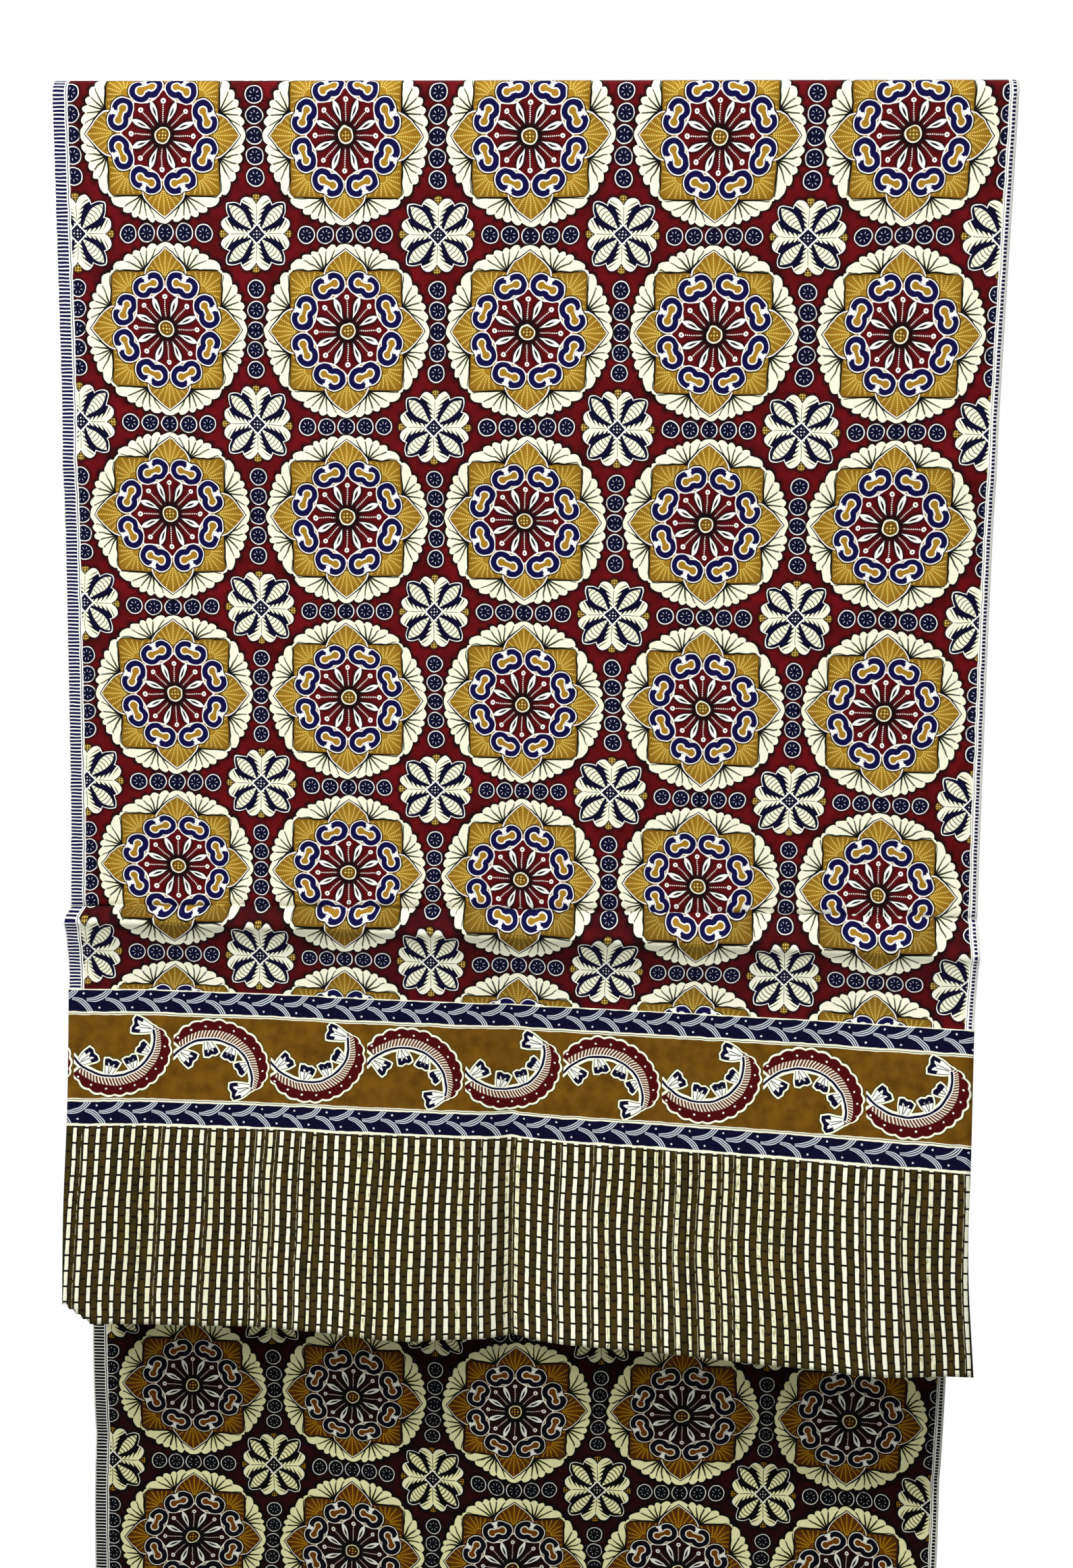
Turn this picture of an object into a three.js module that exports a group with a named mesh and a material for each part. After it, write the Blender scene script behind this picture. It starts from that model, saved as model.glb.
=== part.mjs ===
// A printed batik cloth, hung over a hidden line so that its front end hangs shorter than its back.
// Millimetres, +Z up. The origin is the underside of the top fold at mid-width, where the line
// carries it. +X is to the right as seen from the front, and the front panel faces -Y.
//
// "Down" is always the cloth's own length, measured along it from the top fold. "Out" is the way the
// printed right side faces: -Y on the front panel and +Y on the back panel.

import * as THREE from 'three';
import { mergeVertices } from 'three/addons/utils/BufferGeometryUtils.js';

// Driving dimensions
const WIDTH = 520; // selvedge to selvedge
const FOLD_PITCH = 254; // the cloth was stored folded in eight, so it has a crease every 254
const LENGTH = 8 * FOLD_PITCH; // hem to hem
const FRONT_DROP = 716; // top fold to front hem
const BACK_DROP = LENGTH - FRONT_DROP; // top fold to back hem
const THICKNESS = 1.2;
const HANG_RADIUS = 7.5; // inside radius of the top fold
const BEND_HALF = HANG_RADIUS * Math.PI / 2; // cloth from the top of the fold to where it hangs straight
const FALL_STEP = 4; // length of each step when a panel's fall is added up
const PROBE = 0.05; // distance to the places that give a slope
const MERGE_GAP = 1e-4;

// The columns of the two hanging tables: where each stands across the cloth
const COLUMNS = [
  { name: 'left', across: -WIDTH / 2 },
  { name: 'outerLeft', across: -170 },
  { name: 'innerLeft', across: -80 },
  { name: 'centre', across: 0 },
  { name: 'innerRight', across: 80 },
  { name: 'outerRight', across: 170 },
  { name: 'right', across: WIDTH / 2 },
];

/** A table with named columns: one object for each row of numbers. */
function table(names, ...rows) {
  return rows.map((row) => Object.fromEntries(names.map((name, i) => [name, row[i]])));
}

// How far each panel hangs out of the upright plane, by the length down from the top fold, and how
// far its two selvedges have slipped to the right
const HANG_NAMES = ['down', ...COLUMNS.map(({ name }) => name), 'slipLeft', 'slipRight'];
const FRONT_HANG = table(
  HANG_NAMES,
  [0, 0, 0, 0, 0, 0, 0, 0, 0, 0],
  [220, 2, 0, 0, 1, 2, 3, 5, 0, 0],
  [400, 6, 0, 1, 2, 4, 5, 10, -1, 3],
  [455, 8, 1, 2, 3, 5, 7, 14, -2, 4],
  [520, 19, 10, 11, 10, 13, 19, 31, -1, 3],
  [585, 32, 22, 20, 18, 21, 31, 43, 1, 3],
  [650, 46, 34, 32, 30, 33, 44, 51, 1, 4],
  [FRONT_DROP, 54, 45, 46, 43, 46, 58, 56, 1, 10],
);
const BACK_HANG = table(
  HANG_NAMES,
  [0, 0, 0, 0, 0, 0, 0, 0, 0, 0],
  [250, 0, 1, 0, -1, 0, 1, 0, 1, 1],
  [450, -6, -4, -6, -8, -6, -3, -5, 3, 3],
  [700, -25, -22, -24, -28, -24, -20, -23, 4, 4],
  [900, -37, -33, -36, -40, -36, -34, -38, 4, 4],
  [1100, -40, -33, -38, -43, -37, -38, -43, 4, 4],
  [BACK_DROP, -38, -32, -40, -46, -38, -36, -48, 3, 3],
);

// The stored cloth's creases across the width, "folds" fold pitches above the hem at mid-width and
// "slant" further down at the right selvedge than at the left. Each rises from its line to a ridge
// "rise" further down, and fades out below it. With a rise of 0 it is a plain ridge, or a valley
// where its height is negative.
const CREASE_NAMES = ['folds', 'slant', 'height', 'riseLeft', 'riseRight', 'fade'];
const FRONT_CREASES = table(
  CREASE_NAMES,
  [2, -2, 1.5, 0, 0, 45],
  [1, -13, 4.5, 7, 20, 60],
);
const BACK_CREASES = table(
  CREASE_NAMES,
  [4, 2, 2.5, 0, 0, 60],
  [3, 3, -4, 0, 0, 70],
  [2, -2, 4, 0, 0, 70],
  [1, 2, -4, 0, 0, 70],
);

// Creases and soft folds that run down the cloth. The depth is full at the hem and nothing
// at "from". A sharp one is a kink, the others are round.
const FOLD_NAMES = ['across', 'depth', 'leftHalf', 'rightHalf', 'from', 'sharp'];
const FRONT_FOLDS = table(
  FOLD_NAMES,
  [0, -12, 32, 44, 470, true],
  [-150, -3, 45, 40, 560, false],
  [-62, 8, 48, 34, 570, false],
  [208, 6, 45, 40, 520, false],
);
const BACK_FOLDS = table(
  FOLD_NAMES,
  [0, -6, 70, 60, 100, true],
  [-150, 6, 80, 80, 600, false],
  [140, -6, 80, 70, 700, false],
);
const CENTRE_CREASE = { depth: -1, half: 22 }; // the lengthwise crease where it is faint

// The front hem's left corner is turned under along a slanted line
const TURNED_CORNER = { alongHem: 20, upSide: 15, radius: 2.4 };

// Where the sheet is divided: across, and down the cloth from the back hem to the front one
const ACROSS = [-260, -252, -244, -236, -215, -190, -160, -125, -90, -58, -28, 0, 28, 58, 90, 125, 160,
  190, 218, 242, 260];
const LEDGE_TOP = FRONT_DROP - FOLD_PITCH - 7; // just above the front's main crease
const LEDGE_FOOT = LEDGE_TOP + 36; // just below its ridge
const FLARE_TOP = LEDGE_TOP + 96;
const CORNER_TOP = FRONT_DROP - 24; // just above the turned corner
const SPANS = table(
  ['from', 'to', 'steps'],
  [-BACK_DROP, -BACK_DROP + FOLD_PITCH, 6],
  [-BACK_DROP + FOLD_PITCH, -BACK_DROP + 2 * FOLD_PITCH, 6],
  [-BACK_DROP + 2 * FOLD_PITCH, -BACK_DROP + 3 * FOLD_PITCH, 6],
  [-BACK_DROP + 3 * FOLD_PITCH, -BACK_DROP + 4 * FOLD_PITCH, 6],
  [-BACK_DROP + 4 * FOLD_PITCH, -BEND_HALF, 5],
  [-BEND_HALF, BEND_HALF, 8],
  [BEND_HALF, FRONT_DROP - 2 * FOLD_PITCH, 5],
  [FRONT_DROP - 2 * FOLD_PITCH, LEDGE_TOP, 6],
  [LEDGE_TOP, LEDGE_FOOT, 6],
  [LEDGE_FOOT, FLARE_TOP, 4],
  [FLARE_TOP, CORNER_TOP, 6],
  [CORNER_TOP, FRONT_DROP, 5],
);

/** A smooth curve through rows of { at, value }, with the slope at each taken from its neighbours. */
function smoothCurve(rows, at) {
  const last = rows.length - 1;
  let i = 0;
  while (i < last - 1 && at > rows[i + 1].at) i += 1;
  const slope = (k) => {
    const before = rows[Math.max(k - 1, 0)];
    const after = rows[Math.min(k + 1, last)];
    return (after.value - before.value) / (after.at - before.at);
  };
  const span = rows[i + 1].at - rows[i].at;
  const t = (at - rows[i].at) / span;
  const rest = 1 - t;
  return rows[i].value * (1 + 2 * t) * rest * rest
    + slope(i) * span * t * rest * rest
    + rows[i + 1].value * t * t * (3 - 2 * t)
    - slope(i + 1) * span * t * t * rest;
}

/** One column of a hanging table, at a length down the cloth. */
function hangColumn(hang, column, down) {
  return smoothCurve(hang.map((row) => ({ at: row.down, value: row[column] })), down);
}

/** A crease's height at a length below its line, as a share of its full height. */
function creaseShape(below, rise, fade) {
  if (rise > 0 && below < 0) return 0;
  if (below < rise) return rise > 0 ? below / rise : Math.max(1 + below / fade, 0) ** 2;
  return Math.max(1 - (below - rise) / fade, 0) ** 2;
}

/** A lengthwise fold's depth at a distance across from its line, as a share of its full depth. */
function foldShape(away, fold) {
  const t = Math.abs(away) / (away < 0 ? fold.leftHalf : fold.rightHalf);
  if (t >= 1) return 0;
  return fold.sharp ? (1 - t) ** 2 : Math.cos(t * Math.PI / 2) ** 2;
}

/** How far out a panel stands at a place across and down it. */
function panelOut(panel, across, down) {
  const section = COLUMNS.map(({ name, across: at }) => (
    { at, value: hangColumn(panel.hang, name, down) }
  ));
  const share = across / WIDTH + 0.5;
  let out = smoothCurve(section, across);
  for (const crease of panel.creases) {
    const line = panel.drop - crease.folds * FOLD_PITCH + (share - 0.5) * crease.slant;
    const rise = (1 - share) * crease.riseLeft + share * crease.riseRight;
    out += crease.height * creaseShape(down - line, rise, crease.fade);
  }
  for (const fold of panel.folds) {
    const grown = THREE.MathUtils.smoothstep(down, fold.from, panel.drop);
    out += fold.depth * grown * foldShape(across - fold.across, fold);
  }
  const faint = Math.max(1 - Math.abs(across) / CENTRE_CREASE.half, 0) ** 2;
  return out + CENTRE_CREASE.depth * faint * Math.min(down / FOLD_PITCH, 1);
}

/** How far a panel's place lies below the fold's centre, so that its length is kept. */
function panelFall(panel, across, down) {
  let fall = 0;
  let above = panelOut(panel, across, BEND_HALF);
  for (let at = BEND_HALF; at < down; at += FALL_STEP) {
    const next = Math.min(at + FALL_STEP, down);
    const out = panelOut(panel, across, next);
    fall += Math.sqrt(Math.max((next - at) ** 2 - (out - above) ** 2, 0));
    above = out;
  }
  return fall;
}

const PANELS = {
  front: { hang: FRONT_HANG, creases: FRONT_CREASES, folds: FRONT_FOLDS, drop: FRONT_DROP, facing: -1 },
  back: { hang: BACK_HANG, creases: BACK_CREASES, folds: BACK_FOLDS, drop: BACK_DROP, facing: 1 },
};

/** A place on the wrong side of the hanging cloth. "Along" is positive down the front panel. */
function hungPlace(across, along) {
  if (Math.abs(along) <= BEND_HALF) {
    const turn = along / HANG_RADIUS;
    return new THREE.Vector3(across, -HANG_RADIUS * Math.sin(turn), HANG_RADIUS * (Math.cos(turn) - 1));
  }
  const panel = along > 0 ? PANELS.front : PANELS.back;
  const down = Math.abs(along);
  const share = across / WIDTH + 0.5;
  const slip = (at) => (
    (1 - share) * hangColumn(panel.hang, 'slipLeft', at) + share * hangColumn(panel.hang, 'slipRight', at)
  );
  const out = panelOut(panel, across, down) - panelOut(panel, across, BEND_HALF);
  return new THREE.Vector3(
    across + slip(down) - slip(BEND_HALF),
    panel.facing * (HANG_RADIUS + out),
    -HANG_RADIUS - panelFall(panel, across, down),
  );
}

/** The way the right side faces at a place that a function gives. */
function facing(place, across, along) {
  const right = place(across + PROBE, along).sub(place(across - PROBE, along));
  const up = place(across, along - PROBE).sub(place(across, along + PROBE));
  return right.cross(up).normalize();
}

/** A place on the wrong side with the front hem's left corner turned under. */
function turnedPlace(across, along) {
  const { alongHem, upSide, radius } = TURNED_CORNER;
  const toCorner = new THREE.Vector2(-upSide, alongHem).normalize();
  const past = (across + WIDTH / 2 - alongHem) * toCorner.x + (along - FRONT_DROP) * toCorner.y;
  if (past <= 0) return hungPlace(across, along);
  const turn = Math.min(past / radius, Math.PI);
  const reach = radius * Math.sin(turn) - (past - turn * radius);
  const under = radius * (1 - Math.cos(turn));
  const flatAcross = across + (reach - past) * toCorner.x;
  const flatAlong = along + (reach - past) * toCorner.y;
  return hungPlace(flatAcross, flatAlong).addScaledVector(facing(hungPlace, flatAcross, flatAlong), -under);
}

/** The lengths along the cloth at which the sheet is divided. */
function stations() {
  const list = [SPANS[0].from];
  for (const { from, to, steps } of SPANS) {
    for (let i = 1; i <= steps; i += 1) list.push(from + (to - from) * i / steps);
  }
  return list;
}

/** The whole cloth as one closed sheet: a flat box, divided, then bent to the hanging shape. */
function hungCloth() {
  const along = stations();
  const columns = ACROSS.length - 1;
  const rows = along.length - 1;
  const sheet = new THREE.BoxGeometry(columns, rows, THICKNESS, columns, rows, 1);
  const position = sheet.attributes.position;
  for (let i = 0; i < position.count; i += 1) {
    const across = ACROSS[Math.round(position.getX(i) + columns / 2)];
    const length = along[Math.round(rows / 2 - position.getY(i))];
    const place = turnedPlace(across, length);
    if (position.getZ(i) > 0) place.addScaledVector(facing(turnedPlace, across, length), THICKNESS);
    position.setXYZ(i, place.x, place.y, place.z);
  }
  sheet.deleteAttribute('normal');
  sheet.deleteAttribute('uv');
  return mergeVertices(sheet, MERGE_GAP);
}

const batikCotton = new THREE.MeshStandardMaterial({ color: 0x6e1a1c, roughness: 0.85, metalness: 0 });

const cloth = new THREE.Mesh(hungCloth(), batikCotton);
cloth.name = 'batik_cloth';

const part = new THREE.Group();
part.name = 'batik_cloth_hanging';
part.add(cloth);

export default part;
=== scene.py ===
"""A printed batik cloth, hung over a hidden line so that its front end hangs shorter than its back.

Lengths are millimetres until a mesh, light or camera takes them, and MM turns them into metres. The
frame's origin is the underside of the top fold at mid-width, +X is to the right as seen from the
front, and the front panel faces -Y. "Across" runs from the left selvedge to the right one. "Along" is
the cloth's own length from the top of the fold, positive down the front panel and negative down the
back one.
"""

import logging
import math
from dataclasses import dataclass, field
from enum import Enum
from typing import Callable, NamedTuple, Sequence, Union

import bmesh
import bpy
import numpy as np
from mathutils import Matrix, Vector


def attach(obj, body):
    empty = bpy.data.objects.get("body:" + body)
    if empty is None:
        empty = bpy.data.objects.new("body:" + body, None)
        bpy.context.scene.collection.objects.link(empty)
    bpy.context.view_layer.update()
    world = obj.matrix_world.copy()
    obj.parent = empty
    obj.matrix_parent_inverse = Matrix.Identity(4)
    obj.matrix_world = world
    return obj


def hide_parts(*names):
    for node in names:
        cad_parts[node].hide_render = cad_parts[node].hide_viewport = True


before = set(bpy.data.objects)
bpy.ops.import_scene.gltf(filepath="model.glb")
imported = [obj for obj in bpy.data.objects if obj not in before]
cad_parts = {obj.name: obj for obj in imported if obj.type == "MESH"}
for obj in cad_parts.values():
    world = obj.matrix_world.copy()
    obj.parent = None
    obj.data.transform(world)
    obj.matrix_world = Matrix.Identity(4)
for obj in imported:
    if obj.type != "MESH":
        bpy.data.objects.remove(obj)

log = logging.getLogger("batik_cloth")

MM = 0.001
CAD_NODE = "batik_cloth"

# Driving dimensions of the cloth
WIDTH = 520.0  # selvedge to selvedge
FOLD_PITCH = 254.0  # the cloth was stored folded in eight, so it has a crease every 254
LENGTH = 8 * FOLD_PITCH
FRONT_DROP = 716.0  # top fold to front hem
BACK_DROP = LENGTH - FRONT_DROP
THICKNESS = 1.2
HANG_RADIUS = 7.5  # inside radius of the top fold
BEND_HALF = HANG_RADIUS * math.pi / 2  # cloth from the top of the fold to where it hangs straight

# The printed layout, the same at both ends
STRIPES = 118.5  # striped end, from the hem
BORDER = 79.6  # two navy bands with the gold one between them
FRONT_BORDER_FOOT = FRONT_DROP - STRIPES
FRONT_BORDER_TOP = FRONT_BORDER_FOOT - BORDER
BACK_BORDER_FOOT = BACK_DROP - STRIPES
BACK_BORDER_TOP = BACK_BORDER_FOOT - BORDER


class HangRow(NamedTuple):
    """How a panel hangs at one length down it.

    Attributes:
        down: Length down from the top fold.
        out: How far it hangs out of the upright plane, at each of COLUMNS.
        slip_left: How far the left selvedge has slipped to the right.
        slip_right: How far the right selvedge has slipped to the right.
    """

    down: float
    out: tuple[float, ...]
    slip_left: float
    slip_right: float


class Crease(NamedTuple):
    """A crease across the width, from the stored cloth's folds.

    Attributes:
        folds: Fold pitches above the hem, at mid-width.
        slant: How much further down it is at the right selvedge than at the left.
        height: Height of its ridge, or depth of its valley where negative.
        rise_left: Length from its line to its ridge, at the left selvedge.
        rise_right: The same at the right selvedge.
        fade: Length below the ridge in which it fades out.
    """

    folds: float
    slant: float
    height: float
    rise_left: float
    rise_right: float
    fade: float


class Fold(NamedTuple):
    """A fold that runs down a panel, full at the hem and nothing at its start.

    Attributes:
        across: Where its line is.
        depth: How far out it stands at the hem.
        left_half: Width to the left of its line.
        right_half: Width to the right of its line.
        start: Length down the panel at which it starts.
        sharp: True for a kink, and False for a round fold.
    """

    across: float
    depth: float
    left_half: float
    right_half: float
    start: float
    sharp: bool


class Pucker(NamedTuple):
    """A small soft ridge or trough in a panel.

    Attributes:
        across: Where its middle is across the cloth.
        down: Where its middle is down the panel.
        length: Half length along its line.
        width: Half width across its line.
        height: Height of the ridge, or depth of a trough where negative.
        turn: Degrees from level, positive where it falls to the right.
    """

    across: float
    down: float
    length: float
    width: float
    height: float
    turn: float


COLUMNS = (-WIDTH / 2, -170.0, -80.0, 0.0, 80.0, 170.0, WIDTH / 2)

FRONT_HANG = (
    HangRow(0, (0, 0, 0, 0, 0, 0, 0), 0, 0),
    HangRow(220, (2, 0, 0, 1, 2, 3, 5), 0, 0),
    HangRow(400, (6, 0, 1, 2, 4, 5, 10), -1, 3),
    HangRow(455, (8, 1, 2, 3, 5, 7, 14), -2, 4),
    HangRow(520, (19, 10, 11, 10, 13, 19, 31), -1, 3),
    HangRow(585, (33, 23, 21, 19, 22, 32, 44), 1, 3),
    HangRow(650, (46, 34, 32, 30, 33, 44, 51), 1, 4),
    HangRow(FRONT_DROP, (54, 45, 46, 43, 46, 58, 56), 1, 10),
)
BACK_HANG = (
    HangRow(0, (0, 0, 0, 0, 0, 0, 0), 0, 0),
    HangRow(250, (0, 1, 0, -1, 0, 1, 0), 1, 1),
    HangRow(450, (-6, -4, -6, -8, -6, -3, -5), 3, 3),
    HangRow(700, (-25, -22, -24, -28, -24, -20, -23), 4, 4),
    HangRow(900, (-37, -33, -36, -40, -36, -34, -38), 4, 4),
    HangRow(1100, (-40, -33, -38, -43, -37, -38, -43), 4, 4),
    HangRow(BACK_DROP, (-38, -32, -40, -46, -38, -36, -48), 3, 3),
)
STRONG_CREASE = Crease(1, -13, 4.5, 7, 20, 60)
FRONT_CREASES = (Crease(2, -2, 2.2, 0, 0, 40), STRONG_CREASE)
FRONT_RIDGES = (
    STRONG_CREASE._replace(height=5.4, fade=38),
    Crease(1, -13, 1.8, 6, 19, 8),
    Crease(1, -13, -2.2, 0, 0, 6),
)
BACK_RIDGES = (
    Crease(4, 2, 1.0, 0, 0, 14),
    Crease(3, 3, -1.2, 0, 0, 14),
    Crease(2, -2, 1.2, 0, 0, 14),
    Crease(1, 2, -1.2, 0, 0, 14),
)
BACK_CREASES = (
    Crease(4, 2, 2.5, 0, 0, 60),
    Crease(3, 3, -4, 0, 0, 70),
    Crease(2, -2, 4, 0, 0, 70),
    Crease(1, 2, -4, 0, 0, 70),
)
FRONT_FOLDS = (
    Fold(0, -12, 32, 44, 470, True),
    Fold(-150, -3, 45, 40, 560, False),
    Fold(-62, 8, 48, 34, 570, False),
    Fold(208, 6, 45, 40, 520, False),
)
BACK_FOLDS = (
    Fold(0, -6, 70, 60, 100, True),
    Fold(-150, 6, 80, 80, 600, False),
    Fold(140, -6, 80, 70, 700, False),
)
FRONT_PUCKERS = (
    Pucker(-215, 478, 60, 9, 0.9, -14),
    Pucker(-120, 492, 70, 8, -0.8, 6),
    Pucker(-40, 505, 55, 9, 0.7, 12),
    Pucker(70, 498, 75, 10, -0.9, 9),
    Pucker(165, 520, 60, 9, 0.8, 15),
    Pucker(228, 500, 34, 8, -0.9, 24),
    Pucker(-190, 300, 90, 14, 0.6, 80),
    Pucker(110, 330, 80, 12, -0.5, 84),
    Pucker(205, 250, 90, 12, 0.6, 78),
    Pucker(-60, 140, 90, 12, 0.5, 88),
    Pucker(-95, 655, 55, 7, 0.8, 84),
    Pucker(48, 668, 44, 7, -0.9, 96),
    Pucker(120, 650, 60, 8, 0.9, 80),
    Pucker(175, 684, 34, 6, -0.8, 86),
)
BACK_PUCKERS = (
    Pucker(-120, 300, 140, 18, 0.9, 82),
    Pucker(90, 520, 150, 16, -0.9, 97),
    Pucker(-180, 820, 120, 15, 0.9, 86),
    Pucker(30, 900, 120, 14, 0.8, 93),
    Pucker(190, 1010, 110, 14, -0.8, 84),
    Pucker(-60, 1180, 110, 13, 0.9, 91),
    Pucker(120, 1220, 80, 12, -0.9, 88),
)


class Corner(NamedTuple):
    """The front hem's left corner, turned under along a slanted line.

    Attributes:
        along_hem: Where the line meets the hem, from the selvedge.
        up_side: Where the line meets the selvedge, from the hem.
        radius: Radius of the turn.
    """

    along_hem: float
    up_side: float
    radius: float


class Span(NamedTuple):
    """A stretch of the mesh that is divided evenly."""

    start: float
    end: float
    steps: int


TURNED_CORNER = Corner(20, 15, 2.4)
CENTRE_CREASE_DEPTH = -1.0
CENTRE_CREASE_HALF = 22.0

ACROSS_SPANS = (Span(-WIDTH / 2, WIDTH / 2, 130),)
LEDGE_TOP = FRONT_DROP - FOLD_PITCH - 12
LEDGE_FOOT = FRONT_DROP - FOLD_PITCH + 34
ALONG_SPANS = (
    Span(-BACK_DROP, -BACK_BORDER_FOOT, 16),
    Span(-BACK_BORDER_FOOT, -BACK_BORDER_TOP, 10),
    Span(-BACK_BORDER_TOP, -BEND_HALF, 124),
    Span(-BEND_HALF, BEND_HALF, 14),
    Span(BEND_HALF, LEDGE_TOP, 84),
    Span(LEDGE_TOP, LEDGE_FOOT, 30),
    Span(LEDGE_FOOT, FRONT_BORDER_TOP, 10),
    Span(FRONT_BORDER_TOP, FRONT_BORDER_FOOT, 20),
    Span(FRONT_BORDER_FOOT, FRONT_DROP, 40),
)


def smooth_curve(stations: np.ndarray, values: np.ndarray, at: np.ndarray) -> np.ndarray:
    """Draws a smooth curve through rows, with the slope at each taken from its neighbours.

    Args:
        stations: Where each row stands, rising.
        values: The rows, which may hold several columns each.
        at: Where the curve is wanted.

    Returns:
        The curve's rows, one for each place in at.
    """
    last = len(stations) - 1
    rows = np.arange(last + 1)
    before = np.maximum(rows - 1, 0)
    after = np.minimum(rows + 1, last)
    slopes = (values[after] - values[before]) / (stations[after] - stations[before])[:, None]
    row = np.searchsorted(stations[1:last], at, side="left")
    span = (stations[row + 1] - stations[row])[:, None]
    t = (at - stations[row])[:, None] / span
    rest = 1 - t
    return (
        values[row] * (1 + 2 * t) * rest**2
        + slopes[row] * span * t * rest**2
        + values[row + 1] * t**2 * (3 - 2 * t)
        - slopes[row + 1] * span * t**2 * rest
    )


def divided(spans: Sequence[Span]) -> np.ndarray:
    """Lists the places at which the mesh is divided.

    Args:
        spans: Stretches that follow each other.

    Returns:
        The places, from the first span's start to the last one's end.
    """
    parts = [np.linspace(span.start, span.end, span.steps + 1)[1:] for span in spans]
    return np.concatenate([[spans[0].start], *parts])


@dataclass
class Panel:
    """One hanging side of the cloth, worked out on a fine lattice.

    Attributes:
        hang: The hanging table.
        creases: Its creases across.
        ridges: Sharper shapes on those creases, which take up no length.
        folds: Its folds down.
        puckers: Its small ridges and troughs.
        drop: Its length from the top fold.
        facing: -1 where its right side faces -Y, and 1 where it faces +Y.
        across_step: The lattice's step across.
        down_step: Its step down.
        lattice: Places on the wrong side, by step across and step down.
    """

    hang: Sequence[HangRow]
    creases: Sequence[Crease]
    ridges: Sequence[Crease]
    folds: Sequence[Fold]
    puckers: Sequence[Pucker]
    drop: float
    facing: int
    across_step: float = 2.0
    down_step: float = 1.0
    lattice: np.ndarray = field(init=False)

    def __post_init__(self) -> None:
        """Works out the lattice."""
        across = np.arange(-WIDTH / 2, WIDTH / 2 + self.across_step / 2, self.across_step)
        down = BEND_HALF + np.arange(0, self.drop - BEND_HALF + self.down_step, self.down_step)
        out = self._out(across, down)
        out -= out[:, :1]
        steps = np.sqrt(np.maximum(self.down_step**2 - np.diff(out, axis=1) ** 2, 0))
        fall = np.concatenate([np.zeros((len(across), 1)), np.cumsum(steps, axis=1)], axis=1)
        out += self._creased(self.ridges, across, down)
        slip = self._slip(across, down)
        self.lattice = np.stack(
            [
                across[:, None] + slip - slip[:, :1],
                self.facing * (HANG_RADIUS + out),
                -HANG_RADIUS - fall,
            ],
            axis=-1,
        )

    def _slip(self, across: np.ndarray, down: np.ndarray) -> np.ndarray:
        """Works out how far the cloth has slipped to the right.

        Args:
            across: Places across.
            down: Lengths down the panel.

        Returns:
            The slip at each place across and each length down.
        """
        stations = np.array([row.down for row in self.hang], float)
        slips = np.array([[row.slip_left, row.slip_right] for row in self.hang], float)
        left, right = smooth_curve(stations, slips, down).T
        share = (across / WIDTH + 0.5)[:, None]
        return (1 - share) * left + share * right

    def _out(self, across: np.ndarray, down: np.ndarray) -> np.ndarray:
        """Works out how far the panel hangs out of the upright plane.

        Args:
            across: Places across.
            down: Lengths down the panel.

        Returns:
            The distance out at each place across and each length down.
        """
        stations = np.array([row.down for row in self.hang], float)
        table = np.array([row.out for row in self.hang], float)
        sections = smooth_curve(stations, table, down)
        out = smooth_curve(np.array(COLUMNS), sections.T, across)
        out = out + self._creased(self.creases, across, down)
        for fold in self.folds:
            grown = smooth_step(down, fold.start, self.drop)
            out = out + fold.depth * grown * fold_shape(across - fold.across, fold)[:, None]
        for pucker in self.puckers:
            out = out + pucker_shape(across[:, None], down[None, :], pucker)
        faint = np.maximum(1 - np.abs(across) / CENTRE_CREASE_HALF, 0)[:, None] ** 2
        return out + CENTRE_CREASE_DEPTH * faint * np.minimum(down / FOLD_PITCH, 1)

    def _creased(
        self, creases: Sequence[Crease], across: np.ndarray, down: np.ndarray
    ) -> np.ndarray:
        """Works out the height of creases.

        Args:
            creases: The creases.
            across: Places across.
            down: Lengths down the panel.

        Returns:
            Their height at each place across and each length down.
        """
        share = (across / WIDTH + 0.5)[:, None]
        height = np.zeros((len(across), len(down)))
        for crease in creases:
            line = self.drop - crease.folds * FOLD_PITCH + (share - 0.5) * crease.slant
            rise = (1 - share) * crease.rise_left + share * crease.rise_right
            height += crease.height * crease_shape(down - line, rise, crease.fade)
        return height

    def place(self, across: np.ndarray, down: np.ndarray) -> np.ndarray:
        """Reads places off the lattice.

        Args:
            across: Places across.
            down: Lengths down the panel, one for each place across.

        Returns:
            The places on the wrong side, in rows of three.
        """
        i, s = self._cell((across + WIDTH / 2) / self.across_step, self.lattice.shape[0])
        j, t = self._cell((down - BEND_HALF) / self.down_step, self.lattice.shape[1])
        near = (1 - t) * self.lattice[i, j] + t * self.lattice[i, j + 1]
        far = (1 - t) * self.lattice[i + 1, j] + t * self.lattice[i + 1, j + 1]
        return (1 - s) * near + s * far

    @staticmethod
    def _cell(position: np.ndarray, count: int) -> tuple[np.ndarray, np.ndarray]:
        """Finds the lattice cell of each position and how far into it the position is.

        Args:
            position: Positions in lattice steps.
            count: How many lattice places there are.

        Returns:
            The cells' indices, and the shares as a column.
        """
        cell = np.clip(np.floor(position).astype(int), 0, count - 2)
        return cell, (position - cell)[:, None]


def smooth_step(at: np.ndarray, start: float, end: float) -> np.ndarray:
    """Rises smoothly from 0 at the start to 1 at the end.

    Args:
        at: Where the step is wanted.
        start: Where it starts.
        end: Where it ends.

    Returns:
        The step's height at each place.
    """
    t = np.clip((at - start) / (end - start), 0, 1)
    return t * t * (3 - 2 * t)


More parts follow.
